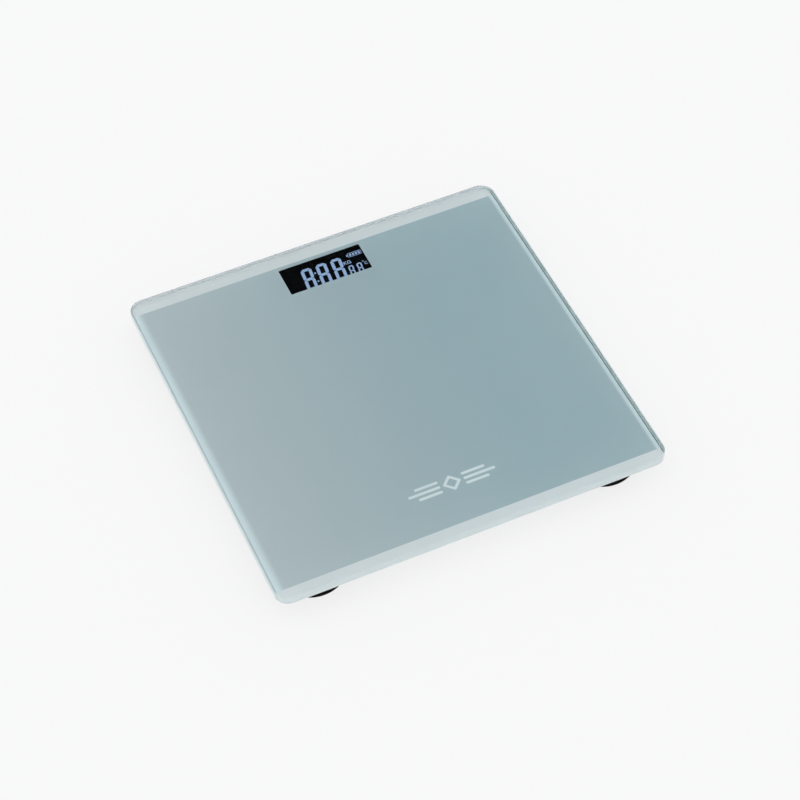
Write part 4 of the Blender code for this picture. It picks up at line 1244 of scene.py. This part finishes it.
# %% Moving dish and its rubber sole
DISH_RIM_WALL, SKIRT_IN, SKIRT_OUT, BEAD_R, SKIRT_TOP = 1.8, 18.7, 19.7, 20.3, 11.2
dish_floor = cap_low.z + 2.0
boss_top = cell_low.z - 0.28
dish_profile = [
    (0, boss_top),
    (4.4, boss_top),
    (4.5, dish_floor),
    (SKIRT_IN, dish_floor),
    (SKIRT_IN, SKIRT_TOP),
    (SKIRT_OUT, SKIRT_TOP),
    (BEAD_R, SKIRT_TOP - 0.5),
    (BEAD_R, SKIRT_TOP - 0.8),
    (SKIRT_OUT, SKIRT_TOP - 0.9),
    (SKIRT_OUT, dish_floor),
    (FOOT_R - DISH_RIM_WALL, dish_floor),
    (FOOT_R - DISH_RIM_WALL, 8.0),
    (FOOT_R - 0.1, 8.0),
    (FOOT_R, cap_low.z + 0.9),
    (FOOT_R - 0.3, cap_low.z),
    (0, cap_low.z),
]
RIBS = 12
rib = make("rib", abs_black, [bar(11.6, 0, 14.4, 0.9, dish_floor - 0.3, dish_floor + 1.9)])
# The ribs start at the middle: their points lie so close to it that only the turn of each one counts.
HUB = 0.001
ribs = copies("dish_ribs", rib, ring_of_points(HUB, RIBS), abs_black, 1.0)
dish = make("moulded_dish", abs_black, [(add_turned, soften(dish_profile))])
at_corners(merge("moulded_dish", dish, ribs), "foot_cap", "black_abs", moving=True)

TREAD_FLOOR = 0.55
TREAD_RINGS = ((5.4, 4.0, 14), (12.2, 4.4, 30), (18.2, 3.6, 44))
SOLE_TOP = pad_high.z + 0.28
sole_profile = [
    (0, SOLE_TOP),
    (PAD_R, SOLE_TOP),
    (SOLE_R, 1.2),
    (SOLE_R, 0.15),
    (SOLE_R - 0.15, 0.0),
    (PAD_R - 1.8, 0.0),
    (PAD_R - 1.9, TREAD_FLOOR),
]
SOLID_RINGS = (15.5, 9.0)
for ring_r in SOLID_RINGS:
    sole_profile += [
        (ring_r + 0.75, TREAD_FLOOR), (ring_r + 0.6, 0.05), (ring_r - 0.6, 0.05), (ring_r - 0.75, TREAD_FLOOR)
    ]
sole_profile += [(2.4, TREAD_FLOOR), (2.2, 0.05), (0, 0.05)]
sole = make("rubber_sole", rubber_black, [(add_turned, soften(sole_profile, 0.2))])
treads = []
for radius, length, count in TREAD_RINGS:
    rib = make(
        "rib", rubber_black, [(add_slab, (length, 0.95, TREAD_FLOOR + 0.1), (0, 0, 0.02), 0.3, 0.12, 1, 2)]
    )
    treads.append(copies(f"tread_{count}", rib, ring_of_points(radius, count), rubber_black, 1.0))
at_corners(merge("rubber_sole", sole, *treads), "foot_pad", "black_rubber", moving=True)

# %% [markdown]
# ## The electronics box
# The box behind the display is two ABS mouldings: a housing that is taped under the glass, and a flat
# cover screwed to it from below. The housing is cut from a rounded block, then the window rim, the
# battery bay's ribs and the screw posts are added. The cover has real ledges that the battery door
# slides on, counterbores for its screws, a fine groove round its border, a raised ring round the unit
# button, and a shallow recess where a rating plate would be glued.

# %% Housing
house_low, house_high = box_mm("display_housing")
cover_low = box_mm("display_cover")[0]
BOX_W, BOX_D = house_high.x - house_low.x, house_high.y - house_low.y
BOX_MID = (0.0, (house_low.y + house_high.y) / 2)
COVER_FACE = cover_low.z
COVER_TOP = COVER_FACE + 1.4
WALL, BOX_ROUND = 1.6, 6.0
view_mid = (0.3, 114.2)
VIEW = (63.6, 26.2)
ROOF_Z = house_high.z - 1.2
seam_z = COVER_TOP + 0.04
COVER_SCREWS = [f"cover_screw_{i}" for i in range(1, 5)]
BOARD_SCREWS = [f"board_screw_{i}" for i in (1, 2)]
SCREW_PLACES = [tuple(middle_mm(node)[:2]) for node in COVER_SCREWS]
BOARD_SCREW_PLACES = [tuple(middle_mm(node)[:2]) for node in BOARD_SCREWS]
board_low, board_high = box_mm("circuit_board")


def tube(place, outer, bore, bottom, top):
    """The arguments of an upright tube, for `make`."""
    profile = [(bore, bottom), (outer, bottom), (outer, top), (bore, top), (bore, bottom)]
    return (add_turned, profile, place, 24)


posts = [tube(p, 3.4, 1.35, 4.92, ROOF_Z + 0.4) for p in SCREW_PLACES]
posts += [tube(p, 2.4, 1.15, board_high.z + 0.02, ROOF_Z + 0.4) for p in BOARD_SCREW_PLACES]
bay_ribs = [bar(0, 86.6, 56.4, 1.2, seam_z + 0.3, ROOF_Z + 0.4, 0.2)]
bay_ribs += [bar(s * 27.6, 74.0, 1.2, 25.6, seam_z + 0.3, ROOF_Z + 0.4, 0.2) for s in (-1, 1)]
saddles = [bar(x, 73.8, 1.0, 23.6, ROOF_Z - 0.2, ROOF_Z + 0.3, 0.2) for x in (-12, 0, 12)]
rim = (add_frame, (VIEW[0] + 4, VIEW[1] + 4), VIEW, (12.62, ROOF_Z + 0.3), view_mid, 2.0)
ways = []
for s in (-1, 1):
    for y in (76.5, 107.5):
        ways.append((add_slab, (8, 3, 3), (s * (BOX_W / 2 - 0.8), y, 10.5), 0.5, 0.3))
housing = make(
    "moulded_box_housing",
    abs_black,
    [(add_slab, (BOX_W, BOX_D, house_high.z - seam_z), (*BOX_MID, seam_z), BOX_ROUND, 0.5, 4, 10)],
    [
        (
            add_slab,
            (BOX_W - 2 * WALL, BOX_D - 2 * WALL, ROOF_Z - seam_z + 4),
            (*BOX_MID, seam_z - 4),
            BOX_ROUND - WALL,
            0.3,
            2,
            8,
        ),
        (add_prism, [(x + view_mid[0], y + view_mid[1]) for x, y in rounded_outline(*VIEW, 0.8, 3)], 11, 20),
        *ways,
    ],
    [*posts, *bay_ribs, *saddles, rim],
)
show(housing, "chassis", "black_abs", "display_housing")

# A dark foam gasket closes the gap between the display and the window, so no light leaks in.
gasket_foam = moulded("black_EPDM_foam_gasket", "#010101", "#030303", 0.95, 0.5, 0.02, 8.0)
gasket_foam.node_tree.nodes["Principled BSDF"].inputs["Specular IOR Level"].default_value = 0.0
gasket = make(
    "display_gasket",
    gasket_foam,
    [
        (
            add_frame,
            (VIEW[0] + 0.2, VIEW[1] + 0.2),
            (VIEW[0] - 0.8, VIEW[1] - 0.6),
            (12.32, film_low.z - 0.01),
            view_mid,
            1.0,
        )
    ],
)
show(gasket, "chassis", "black_abs")

box_tape = make(
    "box_foam_frame", foam_white, [
        (add_frame, (122.0, 70.0), (112.0, 60.0), (house_high.z + 0.01, film_low.z - 0.01), (0, 97.5), 4.0, 6)
    ]
)
show(box_tape, "chassis", "foam_tape", "box_tape")

# %% Cover
door_low, door_high = box_mm("battery_door")
button_low, button_high = box_mm("unit_button")
button_at = tuple(middle_mm("unit_button")[:2])
DOOR_HALF, LEDGE_TOP = 27.7, COVER_FACE + 0.6
OPENING_FRONT = 56.0
LABEL_SIZE, LABEL_AT, LABEL_DEEP = (46.0, 17.0), (12.0, 110.0), 0.2
opening_depth = door_high.y + 0.25 - OPENING_FRONT
opening_y = OPENING_FRONT + opening_depth / 2
cover_cuts = [
    (add_slab, (2 * DOOR_HALF + 0.5, opening_depth, 6), (0, opening_y, COVER_FACE - 2), 0.6, 0.05, 1, 3),
    (add_slab, (2 * DOOR_HALF + 4.1, opening_depth, 6), (0, opening_y, LEDGE_TOP), 0.6, 0.05, 1, 3),
    (
        add_frame,
        (BOX_W - 6, BOX_D - 6),
        (BOX_W - 7.2, BOX_D - 7.2),
        (COVER_FACE - 1, COVER_FACE + 0.25),
        BOX_MID,
        4.0,
        6,
    ),
    (add_slab, (*LABEL_SIZE, 2.0), (*LABEL_AT, COVER_FACE + LABEL_DEEP - 2.0), 1.5, 0.1, 1, 5),
    (add_turned, [(0, 0), (3.45, 0), (3.45, 6), (0, 6)], button_at, 40),
]
for place in SCREW_PLACES:
    cover_cuts.append((add_turned, [(0, 0), (2.8, 0), (2.6, 3.3), (0, 3.3)], place, 32))
    cover_cuts.append((add_turned, [(0, 0), (1.35, 0), (1.35, 6), (0, 6)], place, 24))
bosses = [tube(p, 4.0, 1.35, COVER_TOP - 0.2, COVER_TOP + 1.15) for p in SCREW_PLACES]
button_ring = soften(
    [(4.4, COVER_FACE + 0.2), (4.4, COVER_FACE - 0.3), (5.4, COVER_FACE - 0.3), (5.6, COVER_FACE + 0.2)], 0.2
)
stiff_ribs = [bar(x, 110.0, 1.0, 40.0, COVER_TOP - 0.2, COVER_TOP + 0.7, 0.2) for x in (-24, 24, 50)]
cover = make(
    "moulded_box_cover",
    abs_black,
    [(add_slab, (BOX_W, BOX_D, 1.4), (*BOX_MID, COVER_FACE), BOX_ROUND, 0.45, 3, 10)],
    cover_cuts,
    [*bosses, *stiff_ribs, (add_turned, [*button_ring, button_ring[0]], button_at, 48)],
)
show(cover, "chassis", "black_abs", "display_cover")

# %% Battery door
DOOR_FRONT, DOOR_REAR, DOOR_THICK = door_low.y, door_high.y, 1.2
door_mid_y, door_len = (DOOR_FRONT + DOOR_REAR) / 2, DOOR_REAR - DOOR_FRONT
GRIPS, GRIP_START, GRIP_STEP, GRIP_LONG, GRIP_DEEP = 5, 65.0, 2.0, 22.0, 0.45
door_cuts = []
for i in range(GRIPS):
    outline = [(x, y + GRIP_START + GRIP_STEP * i) for x, y in rounded_outline(GRIP_LONG, 1.0, 0.49, 5)]
    door_cuts.append((add_prism, outline, COVER_FACE - 1, COVER_FACE + GRIP_DEEP))
arrow = [(-4.5, 81.0), (0, 77.2), (4.5, 81.0), (3.2, 81.9), (0, 79.3), (-3.2, 81.9)]
door_cuts.append((add_prism, arrow, COVER_FACE - 1, COVER_FACE + 0.35))
tongues = [
    bar(s * (DOOR_HALF + 0.7), door_mid_y, 2.2, door_len, LEDGE_TOP + 0.28, LEDGE_TOP + 0.8, 0.2)
    for s in (-1, 1)
]
latch = bar(0, DOOR_REAR - 1.4, 12.0, 1.0, COVER_FACE + 1.0, COVER_FACE + 1.38, 0.12)
door = make(
    "moulded_battery_door",
    abs_black,
    [(add_slab, (2 * DOOR_HALF, door_len, DOOR_THICK), (0, door_mid_y, COVER_FACE), 0.8, 0.25, 3, 5)],
    door_cuts,
    [*tongues, latch],
)
show(door, "battery_door", "black_abs", "battery_door")

# %% [markdown]
# ## Screws
# The screws are thread-forming ones for plastic: a pan head with a cross recess and a coarse sharp
# thread. The thread follows a rule, so it is lofted from rings whose radius rises and falls with both
# the height and the angle. One screw of each size is made, and the first tree puts copies in place.

# %% Cover and board screws
THREAD_PITCH, THREAD_STEPS, ROWS_PER_PITCH = 0.9, 20, 6


def add_thread(shape, core, depth, bottom, top):
    """A pointed thread-forming shank."""
    rings = []
    rows = int((top - bottom) / THREAD_PITCH * ROWS_PER_PITCH)
    for row in range(rows + 1):
        z = bottom + (top - bottom) * row / rows
        taper = min(1.0, 0.35 + (top - z) / 2.0)
        ring = []
        for step in range(THREAD_STEPS):
            share = step / THREAD_STEPS
            phase = (z / THREAD_PITCH - share) % 1.0
            radius = taper * (core + depth * max(0.0, 1 - 2.2 * abs(phase - 0.5)))
            ring.append((radius * math.cos(math.tau * share), radius * math.sin(math.tau * share)))
        rings.append((ring, z))
    add_loft(shape, rings)


def screw(name, places, head_r, head_h, shank_r, *replaced):
    """Screws of one size at all these places, standing for these nodes."""
    low, high = box_mm(replaced[0])
    seat = low.z + head_h
    head = [(0, low.z), (head_r * 0.8, low.z), (head_r, low.z + head_h * 0.45), (head_r, seat), (0, seat)]
    recess = []
    for width, depth in ((head_r * 1.15, 0.42), (0.42, head_r * 1.15)):
        recess.append((add_slab, (width, depth, head_h), (0, 0, low.z - head_h * 0.35), 0.12, 0.05, 1, 2))
    shank = (add_thread, shank_r * 0.72, shank_r * 0.28, seat - 0.05, high.z)
    master = make("screw", nickel, [(add_turned, soften(head, 0.25), (0, 0), 32)], recess, [shank])
    obj = copies(name, master, [(*p, 0) for p in places], nickel)
    show(obj, "chassis", "plated_steel", *replaced)


screw("cover_screws", SCREW_PLACES, 2.2, 0.8, 1.1, *COVER_SCREWS)
screw("board_screws", BOARD_SCREW_PLACES, 1.9, 0.8, 0.9, *BOARD_SCREWS)

# %% [markdown]
# ## Display light, rubber connector and circuit board
# Behind the liquid-crystal glass lies a milky acrylic light guide, and along its front edge a strip of
# layered rubber carries the signals down to the board. The board is green glass-epoxy laminate with a
# chip under a drop of black resin, a few small components, and solder joints where the wires end.

# %% Finishes for the electronics
solder_mask, tree, shader, point = start_material("green_solder_mask_on_FR4", "#0f4a2c", 0.32)
TRACE_MM = 3.2
grid = add(tree, "ShaderNodeMapping", {"Vector": point, "Scale": (1 / (TRACE_MM * MM),) * 3})
cells = add(tree, "ShaderNodeTexVoronoi", {"Vector": grid, "Scale": 1.0}, distance="MANHATTAN", feature="F1")
edges = add(tree, "ShaderNodeTexVoronoi", {"Vector": grid, "Scale": 1.0}, distance="MANHATTAN", feature="F2")
seam = add(
    tree, "ShaderNodeMath", {0: edges.outputs["Distance"], 1: cells.outputs["Distance"]}, operation="SUBTRACT"
)
trace = remap(tree, seam, 1.0, 0.0, 0.08, 0.14)
mottle = noise(tree, point, 6.0, 3.0)
base = mix_colour(tree, remap(tree, mottle, 0, 1), "#0c3f25", "#145a36")
lined = mix_colour(tree, trace, base, "#2c7d4f")
tree.links.new(lined.outputs[2], shader.inputs["Base Color"])
relief = add(tree, "ShaderNodeBump", {"Height": trace, "Distance": 0.03 * MM, "Strength": 0.7})
tree.links.new(relief.outputs[0], shader.inputs["Normal"])
solder = moulded("hand_soldered_tin", "#9d9fa1", "#c9cbcc", 0.3, 0.6, 0.02, 2.0, 1.0)
ceramic = moulded("fired_ceramic_chip", "#2a2421", "#3c332e", 0.5, 0.3, 0.01, 1.5)

zebra_rubber, tree, shader, point = start_material("layered_zebra_silicone", "#c9a9b4", 0.6)
STRIPE_MM = 0.5
across = add(tree, "ShaderNodeSeparateXYZ", {"Vector": point}).outputs["X"]
phase = add(tree, "ShaderNodeMath", {0: across, 1: math.tau / (STRIPE_MM * MM)}, operation="MULTIPLY")
stripe = add(tree, "ShaderNodeMath", {0: phase}, operation="SINE")
striped = mix_colour(tree, remap(tree, stripe, 0, 1, -0.2, 0.2), "#d6bcc4", "#19161a")
tree.links.new(striped.outputs[2], shader.inputs["Base Color"])
stripe_bump = add(
    tree, "ShaderNodeBump", {"Height": noise(tree, point, 0.3), "Distance": 0.02 * MM, "Strength": 0.6}
)
tree.links.new(stripe_bump.outputs[0], shader.inputs["Normal"])

# %% Light guide, connector and board
guide_low, guide_high = box_mm("lcd_backlight")
size = guide_high - guide_low
middle = middle_mm("lcd_backlight")
lamps = [
    bar(guide_high.x - 0.1, middle.y + dy, 1.4, 3.0, guide_low.z + 0.2, guide_high.z - 0.3, 0.2)
    for dy in (-7, 0, 7)
]
guide = make(
    "moulded_light_guide",
    acrylic_guide,
    [(add_slab, tuple(size), (middle.x, middle.y, guide_low.z), 0.8, 0.15, 2, 4)],
    [],
    lamps,
)
show(guide, "chassis", "light_guide", "lcd_backlight")

zebra_low, zebra_high = box_mm("zebra_connector")
size = zebra_high - zebra_low
middle = middle_mm("zebra_connector")
strip = make(
    "zebra_strip",
    zebra_rubber,
    [(add_slab, (size.x, size.y, size.z + 0.28), (middle.x, middle.y, zebra_low.z - 0.28), 0.3, 0.2, 3, 4)],
)
show(strip, "chassis", "silicone_strip", "zebra_connector")

size = board_high - board_low
middle = middle_mm("circuit_board")
holes = [(add_turned, [(0, 5), (1.15, 5), (1.15, 9), (0, 9)], p, 24) for p in BOARD_SCREW_PLACES]
board = make(
    "etched_circuit_board",
    solder_mask,
    [(add_slab, tuple(size), (middle.x, middle.y, board_low.z), 1.0, 0.06, 1, 4)],
    holes,
)
show(board, "chassis", "circuit_board", "circuit_board")

# %% Small components and solder joints
chip = make("chip", ceramic, [bar(0, 0, 1.7, 0.9, board_low.z - 0.5, board_low.z + 0.01, 0.12, 0.05)])
chip_points = [
    (4.0 + 3.2 * i, 117.0 + 2.2 * (i % 2), 0)
    for i in range(9)
] + [(30.0, 98.0 + 2.4 * i, 0) for i in range(6)]
chip_points += [(-14.0 - 3.0 * i, 98.5, 0) for i in range(5)]
chips = copies("ceramic_chips", chip, chip_points, ceramic)
end_cap = make(
    "end",
    solder,
    [bar(s * 0.85, 0, 0.35, 0.96, board_low.z - 0.53, board_low.z + 0.01, 0.08, 0.04) for s in (-1, 1)],
)
caps = copies("chip_ends", end_cap, chip_points, solder)
crystal = make(
    "quartz_can", nickel, [(add_slab, (3.2, 8.0, 1.6), (8.0, 98.0, board_low.z - 1.6), 1.5, 0.35, 3, 6)]
)
wire_ends = [(s * 46.5, 95.5) for s in (-1, 1)] + [
    (s * 44.5, 108.5)
    for s in (-1, 1)
] + [(36.0, 93.5), (31.0, 93.5)]
joint_top = board_high.z
JOINT_SHAPE = ((0, 0.75), (0.5, 0.65), (0.85, 0.3), (1.2, -0.01), (0, -0.01))
joint_profile = [(radius, joint_top + rise) for radius, rise in JOINT_SHAPE]
joint = make("joint", solder, [(add_turned, joint_profile, (0, 0), 16)])
joints = copies("solder_joints", joint, [(*p, 0) for p in wire_ends], solder)
show(merge("board_components", chips, caps, crystal, joints), "chassis", "circuit_board")

# %% Resin drop, switch and button
blob_low, blob_high = box_mm("controller_blob")
blob_at = tuple(middle_mm("controller_blob")[:2])
blob_r, blob_h = (blob_high.x - blob_low.x) / 2, board_low.z - blob_low.z
dome = [(blob_r, board_low.z - 0.01)] + [
    (
        blob_r * math.cos(a), board_low.z - blob_h * math.sin(a) ** 0.8
    ) for a in (math.pi / 2 * i / 10 for i in range(1, 10))
]
drop = make(
    "resin_drop", epoxy_drop, [(add_turned, [(0, board_low.z - 0.01), *dome, (0, blob_low.z)], blob_at, 48)]
)
show(drop, "chassis", "black_resin", "controller_blob")

switch_low = box_mm("unit_switch")[0]
SWITCH_FACE = switch_low.z + 0.3
button_x, button_y = button_at
legs = [
    bar(button_x + sx * 2.6, button_y + sy * 1.5, 1.0, 0.7, board_low.z - 0.3, board_low.z, 0.1, 0.05)
    for sx in (-1, 1)
    for sy in (-1, 1)
]
frame_plate = (add_slab, (4.5, 4.5, board_low.z - SWITCH_FACE), (*button_at, SWITCH_FACE), 0.4, 0.12, 2, 3)
plunger_top = SWITCH_FACE + 0.1
plunger_profile = soften([(0, switch_low.z), (1.1, switch_low.z), (1.2, plunger_top), (0, plunger_top)], 0.15)
plunger = (add_turned, plunger_profile, button_at, 24)
switch = make("tact_switch", nickel, [frame_plate], [], [*legs, plunger])
show(switch, "chassis", "switch_body", "unit_switch")

key_profile = [
    (0, button_high.z),
    (1.0, button_high.z),
    (1.0, button_high.z - 0.3),
    (4.2, button_high.z - 0.3),
    (4.2, button_high.z - 0.8),
    (3.2, button_high.z - 0.8),
    (3.15, button_low.z + 0.02),
    (2.6, button_low.z),
    (1.6, button_low.z + 0.14),
    (0, button_low.z + 0.2),
]
key = make("moulded_unit_key", grey_key, [(add_turned, soften(key_profile, 0.18), button_at, 48)])
show(key, "unit_button", "grey_button", "unit_button")

# %% [markdown]
# ## Batteries, contacts and springs
# Two small cells lie head to tail. Each is a steel can with a printed film shrunk round it, folded over
# both ends. The sleeve is plain: a green body and a silver band, with no words. The contacts are nickel
# plated strip, dimpled where they meet a cell's nub, and conical springs press on the flat ends.

# %% Cells
sleeve_green = moulded("printed_shrink_sleeve_green", "#1d5c46", "#27735a", 0.3, 0.5, 0.003, 12.0)
sleeve_silver = moulded("printed_shrink_sleeve_silver", "#a5abad", "#c0c5c6", 0.3, 0.5, 0.003, 12.0, 0.6)
CAN_R, SLEEVE_R, NUB_R, NUB = 5.0, 5.25, 1.9, 0.8


def lie_down(obj, x, y, z, way):
    """Turns a piece built along +Z so that it points along X (way 1 or -1), and moves it."""
    obj.data.transform(
        Matrix.Translation(Vector((x, y, z)) * MM) @ Matrix.Rotation(way * math.pi / 2, 4, "Y")
    )
    return obj


for name, way in (("battery_front", 1), ("battery_rear", -1)):
    low, high = box_mm(name)
    half = (high.x - low.x) / 2
    shoulder = half - NUB
    can = [
        (0, half),
        (NUB_R - 0.2, half),
        (NUB_R, shoulder),
        (3.0, shoulder - 0.15),
        (4.4, shoulder),
        (CAN_R, shoulder - 0.4),
    ]
    can += [(CAN_R, 0.4 - half), (CAN_R - 0.6, -half), (3.4, -half), (3.2, 0.15 - half), (0, 0.15 - half)]
    steel_can = make(f"{name}_can", nickel, [(add_turned, soften(can, 0.2), (0, 0), 48)])
    band_at = shoulder - 9.0
    pieces = []
    for part, material, start, end, fold in (
        ("green", sleeve_green, 0.15 - half, band_at, -1),
        ("silver", sleeve_silver, band_at, shoulder - 0.05, 1),
    ):
        profile = [
            (CAN_R - 0.05, start),
            (SLEEVE_R, start),
            (SLEEVE_R, end),
            (CAN_R - 0.05, end),
            (CAN_R - 0.05, start),
        ]
        if fold > 0:
            profile[2:4] = [(SLEEVE_R, end - 0.3), (CAN_R - 0.55, end + 0.02), (CAN_R - 0.6, end - 0.12)]
        else:
            profile[0:2] = [
                (CAN_R - 0.9, start - 0.12), (SLEEVE_R - 0.1, start + 0.15), (SLEEVE_R, start + 0.4)
            ]
            profile[-1] = profile[0]
        pieces.append(make(part, material, [(add_turned, profile, (0, 0), 48)]))
    cell = lie_down(merge(f"{name}_cell", steel_can, *pieces), *middle_mm(name), way)
    show(cell, "chassis", "battery_sleeve", name)

# %% Contacts
STRIP = 0.3
TAB = (2.2, 2.0)


def contact(node, dimples, way, tab):
    """A strip standing across X, with a round dimple at each given Y and a solder tab on top."""
    low, high = box_mm(node)
    middle = (low + high) / 2
    face = (high.z - low.z, high.y - low.y, STRIP)
    parts = [(add_slab, face, (0, 0, 0), 0.9, 0.06, 1, 5)]
    for y in dimples:
        profile = soften(
            [(0, STRIP + 0.18), (1.0, STRIP + 0.18), (1.6, STRIP - 0.02), (0, STRIP - 0.02)], 0.3
        )
        parts.append((add_turned, profile, (0, y - middle.y), 24))
    if tab:
        parts.append(bar(-face[0] / 2 - TAB[0] / 2 + 0.5, 0, TAB[0], TAB[1], 0, STRIP, 0.4, 0.05))
    obj = make(f"{node}_strip", nickel, parts)
    back = high.x if way < 0 else low.x
    lie_down(obj, back, middle.y, middle.z, way)
    show(obj, "chassis", "spring_steel", node)


front_y, rear_y = middle_mm("battery_front").y, middle_mm("battery_rear").y
contact("contact_positive", (front_y,), -1, True)
contact("contact_negative", (), -1, True)
contact("contact_bridge", (rear_y,), 1, False)

# %% Springs
WIRE_R = 0.3
for name, y, way in (("spring_front", front_y, 1), ("spring_rear", rear_y, -1)):
    low, high = box_mm(name)
    rise = high.x - low.x - 2 * WIRE_R
    # The tree makes the whole spring, so this block only carries its name and finish.
    holder = make(f"{name}_coil", nickel, [bar(0, 0, 1, 1, 0, 1)])
    sizes = {"wide": 3.6 * MM, "narrow": 2.2 * MM, "rise": rise * MM, "turns": 4.5, "wire": WIRE_R * MM}
    run_tree(holder, spring_tree, finish=nickel, **sizes)
    start = low.x + WIRE_R if way > 0 else high.x - WIRE_R
    lie_down(holder, start, y, middle_mm("battery_front").z, way)
    show(holder, "chassis", "spring_steel", name)

# %% [markdown]
# ## Wires and clips
# Each load cell sends three thin wires to the board, red, white and black, twisted together. The front
# pairs run along the underside of the glass under bonded clips. The routes are the ones that the
# engineering model follows, and the second tree lays three cores round each.

# %% Sensor wires
WIRE_Z, UNDER_GLASS_Z = 13.2, 15.7
foot_x, foot_y = 106.0, 107.5
front_route = [
    (foot_x, 0.2 - foot_y, WIRE_Z),
    (foot_x, 12.0 - foot_y, WIRE_Z),
    (foot_x, 26.0 - foot_y, WIRE_Z),
    (foot_x, 38.0 - foot_y, UNDER_GLASS_Z),
    (foot_x, -35.0, UNDER_GLASS_Z),
    (foot_x, 0.0, UNDER_GLASS_Z),
    (foot_x, 35.0, UNDER_GLASS_Z),
    (foot_x, 58.0, UNDER_GLASS_Z),
    (102.0, 70.0, 15.5),
    (92.0, 75.8, 14.6),
    (78.0, 76.5, 12.4),
    (66.0, 76.5, 12.0),
    (59.5, 78.0, 11.6),
    (55.0, 84.0, 10.4),
    (50.5, 90.0, 8.9),
    (46.5, 95.5, 8.3),
]
rear_route = [
    (foot_x - 0.2, foot_y, WIRE_Z),
    (foot_x - 12.0, foot_y, WIRE_Z),
    (foot_x - 26.0, foot_y, WIRE_Z),
    (70.0, foot_y, 12.3),
    (62.0, foot_y, 11.8),
    (55.0, foot_y + 0.3, 10.4),
    (49.5, foot_y + 0.6, 9.0),
    (44.5, foot_y + 1.0, 8.3),
]
PITCH = 9.0 * MM
lay = {"core_radius": 0.32 * MM, "lay_radius": 0.37 * MM, "pitch": PITCH}
sleeves = {"core_1": pvc_white, "core_2": pvc_red, "core_3": pvc_black}
for sign, side in ((-1, "left"), (1, "right")):
    for row, knots in (("front", front_route), ("rear", rear_route)):
        mirrored = [(sign * x, y, z) for x, y, z in knots]
        cable = wire(f"twisted_cores_{row}_{side}", mirrored, three_core, **sleeves, **lay)
        show(cable, "chassis", "wire_sleeve", f"sensor_wire_{row}_{side}")

# %% Battery leads
lead_x = 27.1
red_route = [
    (lead_x, front_y, 11.5),
    (31.0, front_y, 11.5),
    (35.5, 71.5, 11.2),
    (38.0, 79.0, 10.4),
    (38.0, 87.0, 8.9),
    (36.0, 93.5, 8.1),
]
dark_route = [
    (lead_x, rear_y, 11.5),
    (30.5, rear_y + 0.5, 11.5),
    (32.5, 84.0, 10.8),
    (32.5, 89.0, 9.0),
    (31.0, 93.5, 8.1),
]
for colour, knots, sleeve in (("red", red_route, pvc_red), ("black", dark_route, pvc_black)):
    plain = {"core_radius": 0.5 * MM, "lay_radius": 0.0, "pitch": PITCH}
    lead = wire(f"stranded_lead_{colour}", knots, one_core, 0.8, core_1=sleeve, **plain)
    show(lead, "chassis", f"{colour}_wire", f"battery_lead_{colour}")

# %% Wire clips
clip_low, clip_high = box_mm("wire_clip_left_1")
clip_size = clip_high - clip_low
clip_top = film_low.z - 0.01
grips = [bar(s * 3.4, 0, 0.5, 7.0, clip_low.z - 0.25, clip_low.z + 0.2, 0.2, 0.1) for s in (-1, 1)]
clip = make(
    "moulded_wire_clip",
    abs_satin,
    [(add_slab, (clip_size.x, clip_size.y, clip_top - clip_low.z), (0, 0, clip_low.z), 1.5, 0.45, 3, 6)],
    [(add_slab, (2.0, clip_size.y + 4, 4.0), (0, 0, UNDER_GLASS_Z - 1.0), 0.3, 0.3, 2, 3)],
    grips,
)
for side in ("left", "right"):
    for number in (1, 2):
        node = f"wire_clip_{side}_{number}"
        placed_clip = copy_at(clip, f"moulded_clip_{side}_{number}", tuple(middle_mm(node)[:2]))
        show(placed_clip, "chassis", "wire_clip", node)
bpy.data.objects.remove(clip)
